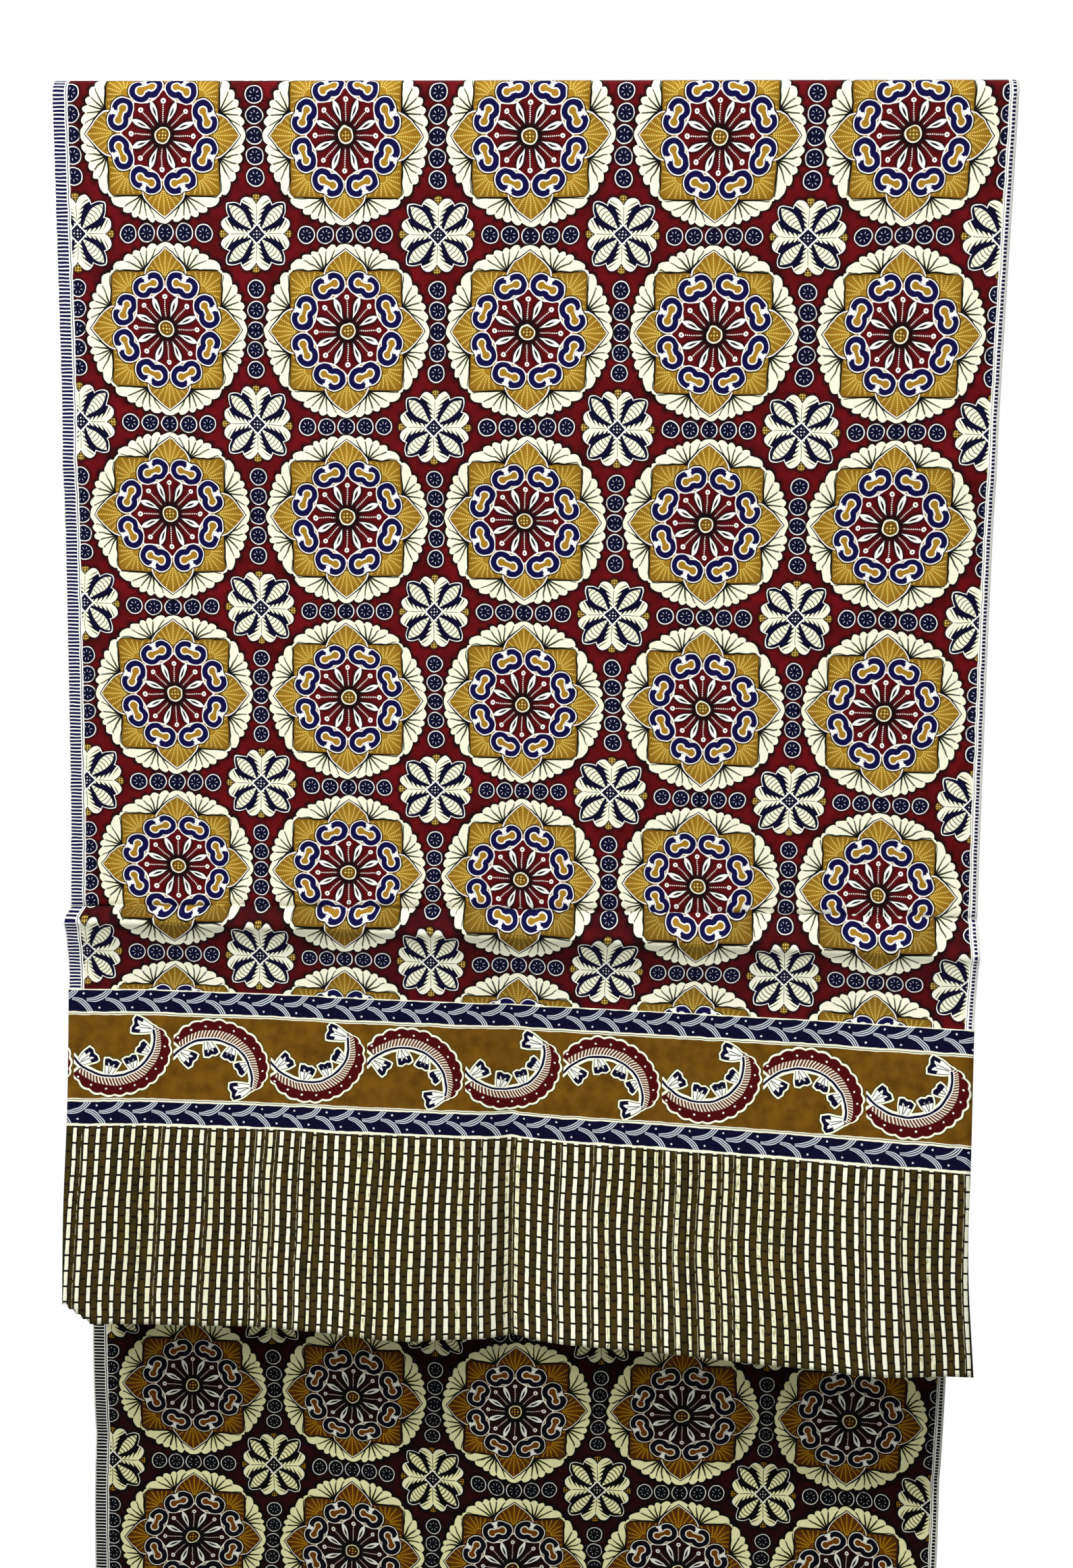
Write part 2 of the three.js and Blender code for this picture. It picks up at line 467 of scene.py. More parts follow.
def crease_shape(below: np.ndarray, rise: np.ndarray, fade: float) -> np.ndarray:
    """Works out a crease's height as a share of its full height.

    Args:
        below: Lengths below the crease's line.
        rise: Length from the line to the ridge, at each place across.
        fade: Length below the ridge in which it fades out.

    Returns:
        The share at each place.
    """
    climbing = np.clip(below / np.maximum(rise, 1e-6), 0, 1)
    plain = np.maximum(1 + below / fade, 0) ** 2
    above = np.where(rise > 0, climbing, plain)
    return np.where(below < rise, above, np.maximum(1 - (below - rise) / fade, 0) ** 2)


def fold_shape(away: np.ndarray, fold: Fold) -> np.ndarray:
    """Works out a fold's depth as a share of its full depth.

    Args:
        away: Distances to the right of the fold's line.
        fold: The fold.

    Returns:
        The share at each place.
    """
    t = np.minimum(np.abs(away) / np.where(away < 0, fold.left_half, fold.right_half), 1)
    return (1 - t) ** 2 if fold.sharp else np.cos(t * math.pi / 2) ** 2


def pucker_shape(across: np.ndarray, down: np.ndarray, pucker: Pucker) -> np.ndarray:
    """Works out the height of a small ridge or trough.

    Args:
        across: Places across.
        down: Lengths down the panel.
        pucker: The ridge or trough.

    Returns:
        Its height at each place.
    """
    turn = math.radians(pucker.turn)
    right = across - pucker.across
    below = down - pucker.down
    lengthwise = (right * math.cos(turn) + below * math.sin(turn)) / pucker.length
    crosswise = (below * math.cos(turn) - right * math.sin(turn)) / pucker.width
    return pucker.height * np.exp(-(lengthwise**2) - crosswise**2)


@dataclass
class HangingShape:
    """The whole cloth's hanging shape: two panels, the round fold between them and a turned corner.

    Attributes:
        front: The front panel.
        back: The back panel.
        probe: How far to each side the way that a place faces is felt.
    """

    front: Panel
    back: Panel
    probe: float = 0.5

    def hung(self, across: np.ndarray, along: np.ndarray) -> np.ndarray:
        """Gives places on the wrong side, before the corner is turned.

        Args:
            across: Places across.
            along: Lengths along, one for each place across.

        Returns:
            The places, in rows of three.
        """
        turn = np.clip(along, -BEND_HALF, BEND_HALF) / HANG_RADIUS
        places = np.stack(
            [across, -HANG_RADIUS * np.sin(turn), HANG_RADIUS * (np.cos(turn) - 1)], axis=-1
        )
        for panel, side in ((self.front, 1), (self.back, -1)):
            on_panel = along * side > BEND_HALF
            places[on_panel] = panel.place(across[on_panel], along[on_panel] * side)
        return places

    def turned(self, across: np.ndarray, along: np.ndarray) -> np.ndarray:
        """Gives places on the wrong side, with the front hem's left corner turned under.

        Args:
            across: Places across.
            along: Lengths along, one for each place across.

        Returns:
            The places, in rows of three.
        """
        corner = TURNED_CORNER
        size = math.hypot(corner.up_side, corner.along_hem)
        to_across = -corner.up_side / size
        to_along = corner.along_hem / size
        past = (across + WIDTH / 2 - corner.along_hem) * to_across + (along - FRONT_DROP) * to_along
        places = self.hung(across, along)
        inside = past > 0
        past = past[inside]
        turn = np.minimum(past / corner.radius, math.pi)
        reach = corner.radius * np.sin(turn) - (past - turn * corner.radius)
        under = corner.radius * (1 - np.cos(turn))
        flat_across = across[inside] + (reach - past) * to_across
        flat_along = along[inside] + (reach - past) * to_along
        facing = self.facing(self.hung, flat_across, flat_along)
        places[inside] = self.hung(flat_across, flat_along) - under[:, None] * facing
        return places

    def facing(
        self,
        place: Callable[[np.ndarray, np.ndarray], np.ndarray],
        across: np.ndarray,
        along: np.ndarray,
    ) -> np.ndarray:
        """Works out the way that the right side faces.

        Args:
            place: The function that gives places.
            across: Places across.
            along: Lengths along, one for each place across.

        Returns:
            Unit directions, in rows of three.
        """
        right = place(across + self.probe, along) - place(across - self.probe, along)
        up = place(across, along - self.probe) - place(across, along + self.probe)
        direction = np.cross(right, up)
        return direction / np.linalg.norm(direction, axis=-1, keepdims=True)


Number = Union["Value", float]


@dataclass(frozen=True)
class Value:
    """A number that varies over the cloth, held by a socket of a node tree."""

    tree: bpy.types.NodeTree
    socket: bpy.types.NodeSocket

    def __add__(self, other: Number) -> "Value":
        """This number plus another."""
        return calculate("ADD", self, other)

    def __radd__(self, other: float) -> "Value":
        """A plain number plus this one."""
        return calculate("ADD", self, other)

    def __sub__(self, other: Number) -> "Value":
        """This number less another."""
        return calculate("SUBTRACT", self, other)

    def __rsub__(self, other: float) -> "Value":
        """A plain number less this one."""
        return calculate("SUBTRACT", other, self)

    def __mul__(self, other: Number) -> "Value":
        """This number times another."""
        return calculate("MULTIPLY", self, other)

    def __rmul__(self, other: float) -> "Value":
        """A plain number times this one."""
        return calculate("MULTIPLY", self, other)

    def __truediv__(self, other: Number) -> "Value":
        """This number divided by another."""
        return calculate("DIVIDE", self, other)

    def __neg__(self) -> "Value":
        """This number with its sign changed."""
        return calculate("MULTIPLY", self, -1.0)

    def __abs__(self) -> "Value":
        """This number without its sign."""
        return calculate("ABSOLUTE", self)


def join(tree: bpy.types.NodeTree, term: Number, socket: bpy.types.NodeSocket) -> None:
    """Feeds a socket.

    Args:
        tree: The socket's node tree.
        term: A number that varies, which is linked, or a plain one, which is set.
        socket: The socket.
    """
    if isinstance(term, Value):
        tree.links.new(term.socket, socket)
    else:
        socket.default_value = float(term)


def calculate(operation: str, *terms: Number, clamped: bool = False) -> Value:
    """Adds one sum to a node tree.

    Args:
        operation: The Math node's operation.
        terms: What it works on, at least one of which varies.
        clamped: True to keep the result from 0 to 1.

    Returns:
        The result.
    """
    tree = next(term.tree for term in terms if isinstance(term, Value))
    node = tree.nodes.new("ShaderNodeMath")
    node.operation = operation
    node.use_clamp = clamped
    for socket, term in zip(node.inputs, terms):
        join(tree, term, socket)
    return Value(tree, node.outputs[0])


def add_node(tree: bpy.types.NodeTree, kind: str, settings: dict[str, float]) -> bpy.types.Node:
    """Adds a node with plain numbers on some of its inputs.

    Args:
        tree: The node tree.
        kind: The kind of node.
        settings: The inputs' names and numbers.

    Returns:
        The node.
    """
    node = tree.nodes.new(kind)
    for name, number in settings.items():
        node.inputs[name].default_value = number
    return node


def smaller(a: Number, b: Number) -> Value:
    """The smaller of two numbers."""
    return calculate("MINIMUM", a, b)


def larger(a: Number, b: Number) -> Value:
    """The larger of two numbers."""
    return calculate("MAXIMUM", a, b)


def fraction(value: Value) -> Value:
    """What a number has past a whole one."""
    return calculate("FRACT", value)


def angle(up: Number, right: Number) -> Value:
    """The angle of a direction, in radians from the right."""
    return calculate("ARCTAN2", up, right)


def cosine(value: Value) -> Value:
    """The cosine of an angle."""
    return calculate("COSINE", value)


def sine(value: Value) -> Value:
    """The sine of an angle."""
    return calculate("SINE", value)


def above(value: Number, limit: Number) -> Value:
    """1 where a number is over a limit, and 0 elsewhere."""
    return calculate("GREATER_THAN", value, limit)


def below(value: Number, limit: Number) -> Value:
    """1 where a number is under a limit, and 0 elsewhere."""
    return calculate("LESS_THAN", value, limit)


def distance(a: Value, b: Number) -> Value:
    """Works out the length of a slanted line.

    Args:
        a: How far it goes one way.
        b: How far it goes at right angles to that.

    Returns:
        Its length.
    """
    pair = a.tree.nodes.new("ShaderNodeCombineXYZ")
    join(a.tree, a, pair.inputs["X"])
    join(a.tree, b, pair.inputs["Y"])
    length = a.tree.nodes.new("ShaderNodeVectorMath")
    length.operation = "LENGTH"
    a.tree.links.new(pair.outputs[0], length.inputs[0])
    return Value(a.tree, length.outputs["Value"])


def from_repeat(value: Value, pitch: float) -> Value:
    """Works out how far a number is from the nearest whole multiple of a pitch.

    Args:
        value: The number.
        pitch: The pitch.

    Returns:
        The distance, from minus half the pitch to half the pitch.
    """
    return (fraction(value / pitch + 0.5) - 0.5) * pitch


def leaf_width(share: Value, skew: float = 0.0) -> Value:
    """Works out a leaf's width as a share of its greatest width, negative past its ends.

    Args:
        share: Share of the leaf's length.
        skew: How much fuller it is towards its far end.

    Returns:
        The share of its greatest width.
    """
    widest = max(s * (1 - s) * (1 + skew * s) for s in (step / 100 for step in range(101)))
    return share * (1.0 - share) * (share * skew + 1.0) / widest


class Unevenness(NamedTuple):
    """Smooth noise over the cloth.

    Attributes:
        across: Across, about from -1 to 1.
        along: Along, about from -1 to 1.
    """

    across: Value
    along: Value


def unevenness(across: Value, along: Value, size: float, detail: float = 0.0) -> Unevenness:
    """Adds smooth noise.

    Args:
        across: Place across.
        along: Place along.
        size: Width of its lumps.
        detail: How many finer layers it has.

    Returns:
        Two numbers that wander on their own.
    """
    tree = across.tree
    place = tree.nodes.new("ShaderNodeCombineXYZ")
    join(tree, across, place.inputs["X"])
    join(tree, along, place.inputs["Y"])
    noise = add_node(tree, "ShaderNodeTexNoise", {"Scale": 1 / size, "Detail": detail})
    noise.noise_dimensions = "2D"
    tree.links.new(place.outputs[0], noise.inputs["Vector"])
    split = tree.nodes.new("ShaderNodeSeparateColor")
    tree.links.new(noise.outputs["Color"], split.inputs[0])
    red, green = (Value(tree, split.outputs[i]) for i in (0, 1))
    return Unevenness((red - 0.5) * 3.0, (green - 0.5) * 3.0)


def chance(value: Value, seed: float) -> Value:
    """Gives each whole number a random one of its own.

    Args:
        value: The whole number.
        seed: Another number for another draw.

    Returns:
        A number from 0 to 1.
    """
    node = value.tree.nodes.new("ShaderNodeTexWhiteNoise")
    node.noise_dimensions = "2D"
    pair = add_node(value.tree, "ShaderNodeCombineXYZ", {"Y": seed})
    join(value.tree, value, pair.inputs["X"])
    value.tree.links.new(pair.outputs[0], node.inputs["Vector"])
    return Value(value.tree, node.outputs["Value"])


def cover(past: Value, softness: Number) -> Value:
    """Turns a distance past an edge into how far ink covers the place.

    Args:
        past: Distance past the edge, negative inside.
        softness: Width in which the ink fades.

    Returns:
        1 inside, 0 outside.
    """
    return calculate("SUBTRACT", 0.5, past / softness, clamped=True)


class Ink(Enum):
    """The cloth's colours, as seen in plain daylight."""

    MAROON = (112, 13, 20)
    DARK_MAROON = (74, 6, 10)
    GOLD = (168, 126, 34)
    DEEP_GOLD = (112, 76, 14)
    BORDER_GOLD = (120, 82, 16)
    BORDER_BROWN = (88, 56, 8)
    STRAW = (236, 214, 112)
    MIST = (222, 230, 238)
    CREAM = (254, 253, 226)
    BUTTER = (240, 238, 196)
    WHITE = (255, 255, 248)
    OLIVE = (142, 136, 46)
    MOSS = (58, 60, 14)
    NAVY = (14, 11, 66)
    NIGHT = (7, 7, 40)
    BLACK = (7, 5, 8)
    ROSE = (206, 140, 120)
    BROWN = (72, 55, 17)
    GREEN_BROWN = (46, 44, 13)

    @property
    def linear(self) -> tuple[float, float, float, float]:
        """The colour as a shader takes it."""
        parts = [part / 255 for part in self.value]
        return (*(p / 12.92 if p <= 0.04045 else ((p + 0.055) / 1.055) ** 2.4 for p in parts), 1.0)


@dataclass
class Painting:
    """Layers of ink on a node tree, each over those before it.

    Attributes:
        tree: The node tree.
        base: The ink under the first layer.
        softness: Width in which an edge fades.
        ground: The socket that gives the layers so far.
    """

    tree: bpy.types.NodeTree
    base: Ink
    softness: float
    ground: bpy.types.NodeSocket | None = None

    def lay(self, ink: Ink, share: Value) -> None:
        """Lays one ink over the others.

        Args:
            ink: The ink.
            share: How far it covers each place.
        """
        node = self.tree.nodes.new("ShaderNodeMix")
        node.data_type = "RGBA"
        node.clamp_factor = True
        factor, under, over = (
            socket for socket in node.inputs if socket.enabled and socket.name in ("Factor", "A", "B")
        )
        join(self.tree, share, factor)
        over.default_value = ink.linear
        if self.ground:
            self.tree.links.new(self.ground, under)
        else:
            under.default_value = self.base.linear
        self.ground = next(socket for socket in node.outputs if socket.enabled)

    def fill(self, ink: Ink, past: Value, within: Value | None = None) -> None:
        """Fills a shape with one ink.

        Args:
            ink: The ink.
            past: Distance past the shape's edge, negative inside.
            within: A share that limits the ink, if any.
        """
        share = cover(past, self.softness)
        self.lay(ink, share * within if within else share)

    def draw(self, ink: Ink, past: Value, half: Number, within: Value | None = None) -> None:
        """Draws a line along a shape's edge.

        Args:
            ink: The ink.
            past: Distance past the shape's edge.
            half: Half the line's width.
            within: A share that limits the ink, if any.
        """
        self.fill(ink, abs(past) - half, within)

    def shade(self, ink: Ink, past: Value, width: float, strength: float) -> None:
        """Lets ink bleed out past a shape's edge.

        Args:
            ink: The ink.
            past: Distance past the edge, negative inside.
            width: How far the ink bleeds.
            strength: How strong it is at the edge.
        """
        self.lay(ink, calculate("SUBTRACT", 1.0, past / width, clamped=True) * strength)


NODE_COLUMN = 180
NODE_ROW = 170


def arrange(tree: bpy.types.NodeTree) -> None:
    """Sets a tree's nodes out in columns, from what they read to what they feed.

    Args:
        tree: The node tree.
    """
    column: dict[str, int] = {}
    feeds: dict[str, list[str]] = {node.name: [] for node in tree.nodes}
    waits = {node.name: 0 for node in tree.nodes}
    for link in tree.links:
        feeds[link.from_node.name].append(link.to_node.name)
        waits[link.to_node.name] += 1
    ready = [name for name, count in waits.items() if count == 0]
    rows: dict[int, int] = {}
    while ready:
        name = ready.pop()
        at = column.setdefault(name, 0)
        tree.nodes[name].location = (at * NODE_COLUMN, -rows.setdefault(at, 0) * NODE_ROW)
        rows[at] += 1
        for other in feeds[name]:
            column[other] = max(column.get(other, 0), at + 1)
            waits[other] -= 1
            if waits[other] == 0:
                ready.append(other)


class GroupParts(NamedTuple):
    """A new shader node group and what goes into it."""

    tree: bpy.types.NodeTree
    across: Value
    along: Value


def new_group(name: str, outputs: dict[str, str]) -> GroupParts:
    """Starts a shader node group that works from a place on the cloth.

    Args:
        name: The group's name.
        outputs: Its output sockets, as names and kinds.

    Returns:
        The group, with its two inputs.
    """
    tree = bpy.data.node_groups.new(name, "ShaderNodeTree")
    for socket in ("Across", "Along"):
        tree.interface.new_socket(socket, in_out="INPUT", socket_type="NodeSocketFloat")
    for socket, kind in outputs.items():
        tree.interface.new_socket(socket, in_out="OUTPUT", socket_type=f"NodeSocket{kind}")
    entry = tree.nodes.new("NodeGroupInput")
    return GroupParts(tree, Value(tree, entry.outputs["Across"]), Value(tree, entry.outputs["Along"]))


def close_group(tree: bpy.types.NodeTree, results: Sequence[bpy.types.NodeSocket]) -> None:
    """Feeds a group's outputs and sets its nodes out.

    Args:
        tree: The group.
        results: What feeds each output, in the interface's order.
    """
    leave = tree.nodes.new("NodeGroupOutput")
    for result, socket in zip(results, leave.inputs):
        tree.links.new(result, socket)
    arrange(tree)


def place_group(
    tree: bpy.types.NodeTree, group: bpy.types.NodeTree, across: Value, along: Value
) -> bpy.types.ShaderNodeGroup:
    """Places a group in another node tree.

    Args:
        tree: The tree that it goes into.
        group: The group.
        across: Place across.
        along: Place along.

    Returns:
        The group's node.
    """
    node = tree.nodes.new("ShaderNodeGroup")
    node.node_tree = group
    join(tree, across, node.inputs["Across"])
    join(tree, along, node.inputs["Along"])
    return node


EIGHTH = math.pi / 4
SIXTEENTH = math.pi / 8


@dataclass(frozen=True)
class FieldPrint:
    """The medallions, rosettes and chains of discs between them, on a maroon ground.

    Places within a repeat are shares of its pitch, so a medallion's middle is 0 and a rosette's is half.
    """

    pitch_across: float = 100.9
    pitch_along: float = 102.5
    middle_across: float = -198.3  # the left-hand medallions' middles
    middle_along: float = 33.0  # the top row's middles
    back_stretch: float = 0.019  # how much closer the print repeats down the back
    drift: float = 1.1  # how far whole motifs wander
    tremble: float = 0.3  # how far a line wanders
    painted_shade_length: float = 110.0  # how far down the painted shade under the strong crease reaches
    fan_root: tuple[float, float] = (0.308, 0.114)
    dot_pitch: float = 0.0175  # dots of the rosette's and the star's middles
    soft: float = 0.0034

    def group(self) -> bpy.types.NodeTree:
        """Builds the field's node group.

        Returns:
            The group, which gives a colour for each place.
        """
        tree, across, along = new_group("Medallion field", {"Color": "Color"})
        art = Painting(tree, Ink.MAROON, self.soft)
        drift = unevenness(across, along, 55.0)
        wobble = unevenness(across, along, 7.0, 1.0)
        right_slip = drift.across * self.drift + wobble.across * self.tremble
        down_slip = drift.along * self.drift + wobble.along * self.tremble
        x = (across - self.middle_across + right_slip) / self.pitch_across
        stretched = along + smaller(along, 0.0) * self.back_stretch
        y = (stretched - self.middle_along + down_slip) / self.pitch_along
        self._ground(art, across, along)
        # Painted shade: the dyes are darkened under the strong crease, below its ridge.
        shaded = self._painted_crease_shade(across, along)
        art.lay(Ink.BLACK, shaded * 0.5)
        right = abs(from_repeat(x, 1.0))
        down = abs(from_repeat(y, 1.0))
        u = larger(right, down)
        v = smaller(right, down)
        self._discs(art, u, v)
        self._rosette(art, u, v, wobble.along)
        self._medallion(art, u, v, wobble, shaded)
        # More painted shade under the strong crease, laid over the cream as well.
        art.lay(Ink.BLACK, shaded * 0.12)
        self._selvedges(art, across, along, wobble.across)
        close_group(tree, [art.ground])
        return tree

    def _ground(self, art: Painting, across: Value, along: Value) -> None:
        """Paints the mottled maroon ground."""
        blotch = unevenness(across, along, 16.0, 2.0)
        art.lay(Ink.DARK_MAROON, calculate("ADD", blotch.across * 0.6, 0.42, clamped=True))

    def _painted_crease_shade(self, across: Value, along: Value) -> Value:
        """Works out where shade is painted into the dyes, under the strong storage crease.

        Args:
            across: Place across the cloth.
            along: Place down it.

        Returns:
            A share, 1 right under the crease.
        """
        line = FRONT_DROP - STRONG_CREASE.folds * FOLD_PITCH
        under = along - across * (STRONG_CREASE.slant / WIDTH) - line
        return calculate("SUBTRACT", 1.0, under / self.painted_shade_length, clamped=True) * above(under, -1.0)

    def _discs(self, art: Painting, u: Value, v: Value) -> None:
        """Paints five navy discs with white flowers on each side of a repeat.

        Args:
            art: The painting.
            u: The larger distance from the medallion's middle.
            v: The smaller distance.
        """
        spacing, radius, navy = 0.1065, 0.0474, 0.0425
        nearest = smaller(calculate("ROUND", v / spacing), 2.0)
        past = v - nearest * spacing
        aside = 0.5 - u
        reach = distance(past, aside)
        art.shade(Ink.BLACK, reach - radius, 0.022, 0.85)
        art.fill(Ink.WHITE, reach - radius)
        art.fill(Ink.NIGHT, reach - navy)
        petal = from_repeat(angle(aside, past), 2 * math.pi / 7)
        outward = (reach * cosine(petal) - 0.0214) / 0.006
        sideways = reach * sine(petal) / 0.0016
        art.fill(Ink.MIST, (distance(outward, sideways) - 1.0) * 0.005)

    def _rosette(self, art: Painting, u: Value, v: Value, wobble: Value) -> None:
        """Paints the rosette at a repeat's corner.

        Args:
            art: The painting.
            u: The larger distance from the medallion's middle.
            v: The smaller distance.
            wobble: Noise for the outline.
        """
        out = 0.5 - v
        aside = 0.5 - u
        reach = distance(out, aside)
        turn = angle(aside, out) / EIGHTH
        lobe = abs(sine(turn * (1.5 * math.pi)))
        past = reach - (turn * 0.04 + lobe * 0.035 + 0.15) - wobble * 0.003
        self._ball(art, out, aside)
        art.shade(Ink.BLACK, past, 0.026, 1.0)
        art.fill(Ink.WHITE, past)
        inside = cover(past + 0.0065, self.soft)
        art.lay(Ink.CREAM, inside)
        lengthwise = (out + aside) * 0.70711
        off_line = (out - aside) * 0.70711
        leaf = off_line - 0.065 * leaf_width((lengthwise - 0.015) / 0.21, 2.0)
        rope = from_repeat(out - aside * 0.75 + reach * reach * 0.6, 0.0235)
        art.draw(Ink.BLACK, rope, 0.0074 - leaf * 0.3, inside)
        art.draw(Ink.BLACK, aside, 0.0016, inside)
        art.fill(Ink.NIGHT, leaf, inside)
        body = off_line - 0.029 * leaf_width((lengthwise - 0.035) / 0.175, 2.0)
        art.fill(Ink.CREAM, body)
        segment = from_repeat(lengthwise + off_line * off_line * 9.0, 0.0215)
        art.draw(Ink.MOSS, segment, 0.0024, cover(body, self.soft))
        diamond = out + aside
        art.fill(Ink.WHITE, diamond - 0.0575)
        art.fill(Ink.NIGHT, diamond - 0.0465)
        dot = self._dots(out, aside) - 0.0038
        art.fill(Ink.WHITE, dot, cover(diamond - 0.031, self.soft))

    def _dots(self, right: Value, up: Value) -> Value:
        """Distance from the nearest of a square grid of dots."""
        return distance(from_repeat(right, self.dot_pitch), from_repeat(up, self.dot_pitch))

    def _ball(self, art: Painting, out: Value, aside: Value) -> None:
        """Paints the gold ball that stands between two of a rosette's lobes.

        Args:
            art: The painting.
            out: Distance from the rosette's middle along its axis.
            aside: Distance from the axis.
        """
        from_middle = out - 0.181
        ball = distance(from_middle, aside) - 0.0245
        art.shade(Ink.BLACK, ball, 0.022, 0.9)
        art.fill(Ink.DEEP_GOLD, ball)
        grain = distance(from_repeat(from_middle, 0.0135), from_repeat(aside, 0.0135)) - 0.0042
        art.fill(Ink.STRAW, grain, cover(ball + 0.004, self.soft))

    def _medallion(
        self, art: Painting, u: Value, v: Value, wobble: Unevenness, shaded: Value
    ) -> None:
        """Paints a medallion, from its cream rim to its middle.

        Args:
            art: The painting.
            u: The larger distance from its middle.
            v: The smaller distance.
            wobble: Noise for the outlines.
            shaded: Where shade is painted under the strong crease.
        """
        reach = distance(u, v)
        turn = angle(v, u)
        rim = self._fans(art, u, v, reach, wobble)
        gold = self._gold(art, u, v, reach, rim, wobble.along)
        # Painted shade: the gold is browned under the strong crease.
        art.lay(Ink.BROWN, gold * shaded * 0.5)
        from_cloud = abs(turn - SIXTEENTH)
        points = from_cloud / SIXTEENTH
        disc = reach - (points * points * 0.044 + 0.181) - wobble.across * 0.002
        art.fill(Ink.WHITE, disc - 0.0085)
        art.fill(Ink.MAROON, disc)
        self._star(art, reach, turn, from_cloud, cover(disc, self.soft), wobble.along)
        self._clouds(art, u, v, wobble.across)

    def _fans(
        self, art: Painting, u: Value, v: Value, reach: Value, wobble: Unevenness
    ) -> Value:
        """Paints the cream fans with their scalloped rim.

        Args:
            art: The painting.
            u: The larger distance from the middle.
            v: The smaller distance.
            reach: Distance from the middle.
            wobble: Noise for the leaves.

        Returns:
            Distance past the scalloped rim.
        """
        root_out, root_side = self.fan_root
        from_root = distance(u - root_out, v - root_side)
        fan_turn = angle(v - root_side, u - root_out) + wobble.along * 0.05
        leaf = 0.4
        part = fraction(fan_turn / leaf + 0.2)
        bulge = part * (1.0 - part) * 4.0
        past = reach - (bulge * 0.019 + 0.434) - wobble.across * 0.003
        art.shade(Ink.BLACK, past - 0.005, 0.026, 1.0)
        art.fill(Ink.CREAM, past)
        inside = cover(past + 0.005, 0.012)
        art.lay(Ink.BUTTER, inside * calculate("SUBTRACT", 0.7, from_root * 8.0, clamped=True))
        rib = from_repeat(fan_turn + leaf * 0.2, leaf) * from_root
        art.draw(Ink.MOSS, rib, 0.003, cover(past + 0.008, self.soft))
        near_root = calculate("SUBTRACT", 1.3, from_root / 0.09, clamped=True)
        art.draw(Ink.BLACK, rib, 0.0052, near_root)
        return past

    def _gold(
        self, art: Painting, u: Value, v: Value, reach: Value, rim: Value, wobble: Value
    ) -> Value:
        """Paints the gold square and the gold petals over its sides, with their dotted rays.

        Args:
            art: The painting.
            u: The larger distance from the middle.
            v: The smaller distance.
            reach: Distance from the middle.
            rim: Distance past the scalloped rim.
            wobble: Noise for the outlines.

        Returns:
            Where the gold shows.
        """
        square = larger(u - 0.306, reach - 0.42) - wobble * 0.0025
        edge = 0.0145 - v * 0.03
        art.fill(Ink.BLACK, square - edge)
        art.fill(Ink.GOLD, square)
        near_edge = calculate("ADD", square / 0.05, 1.0, clamped=True)
        art.lay(Ink.DEEP_GOLD, cover(square, self.soft) * near_edge * 0.65)
        self._rays(art, u - 0.2, v - 0.2, 0.3, cover(square + 0.006, self.soft))
        taper = cosine(larger((u - 0.29) / 0.13, 0.0) * (math.pi / 2))
        petal = (v - taper * 0.112) * 0.8 - wobble * 0.002
        outer = above(u, 0.305)
        art.draw(Ink.BLACK, petal - 0.0105, 0.018 - u * 0.034, outer * below(rim, -0.004))
        art.fill(Ink.WHITE, petal - 0.0055, below(rim, 0.002))
        gold = cover(petal, self.soft)
        art.lay(Ink.GOLD, gold)
        art.lay(Ink.DEEP_GOLD, gold * calculate("ADD", petal * 12.0, 0.85, clamped=True) * 0.6)
        self._rays(art, u - 0.255, v, 0.27, cover(petal + 0.005, self.soft))
        return larger(cover(square, self.soft), gold)

    def _rays(self, art: Painting, right: Value, up: Value, step: float, within: Value) -> None:
        """Paints dotted rays that spread from a point.

        Args:
            art: The painting.
            right: Distance from the point, away from the middle.
            up: Distance from the point, at right angles to that.
            step: Angle between the rays.
            within: Where they show.
        """
        from_point = distance(right, up)
        off_ray = from_repeat(angle(up, right), step) * from_point
        bead = distance(from_repeat(from_point, 0.0112), off_ray) - 0.0034
        art.fill(Ink.STRAW, bead, within * above(from_point, 0.028))

    def _star(
        self,
        art: Painting,
        reach: Value,
        turn: Value,
        from_petal: Value,
        within: Value,
        wobble: Value,
    ) -> None:
        """Paints the star in the middle: white petals, beaded rays and a gold boss in a dark halo.

        Args:
            art: The painting.
            reach: Distance from the middle.
            turn: Angle in the folded repeat.
            from_petal: Angle from the nearest petal.
            within: Where the inner disc shows.
            wobble: Noise for the boss.
        """
        along_petal = reach * cosine(from_petal)
        off_petal = reach * sine(from_petal)
        petal = off_petal - 0.0158 * leaf_width((along_petal - 0.07) / 0.114, 2.0)
        from_ray = smaller(turn, EIGHTH - turn)
        along_ray = reach * cosine(from_ray)
        off_ray = reach * sine(from_ray)
        art.lay(Ink.DARK_MAROON, within * 0.65)
        art.shade(Ink.BLACK, reach - 0.046, 0.06, 1.0)
        art.lay(Ink.BLACK, within * cover(petal - 0.01, 0.018) * below(along_petal, 0.19))
        art.fill(Ink.WHITE, petal)
        slit = off_petal - 0.0052 * leaf_width((along_petal - 0.095) / 0.06)
        art.fill(Ink.BLACK, slit)
        bead = distance(from_repeat(along_ray, 0.0108), off_ray) - 0.003
        art.fill(Ink.WHITE, bead, above(along_ray, 0.066) * below(along_ray, 0.162))
        ring = distance(along_ray - 0.173, off_ray)
        art.fill(Ink.WHITE, ring - 0.0128)
        art.fill(Ink.DARK_MAROON, ring - 0.0042)
        boss = reach - wobble * 0.005
        art.fill(Ink.CREAM, boss - 0.0425)
        art.fill(Ink.DEEP_GOLD, boss - 0.0355)
        dot = self._dots(reach * cosine(turn), reach * sine(turn)) - 0.0048
        art.fill(Ink.STRAW, dot, cover(boss - 0.022, self.soft))

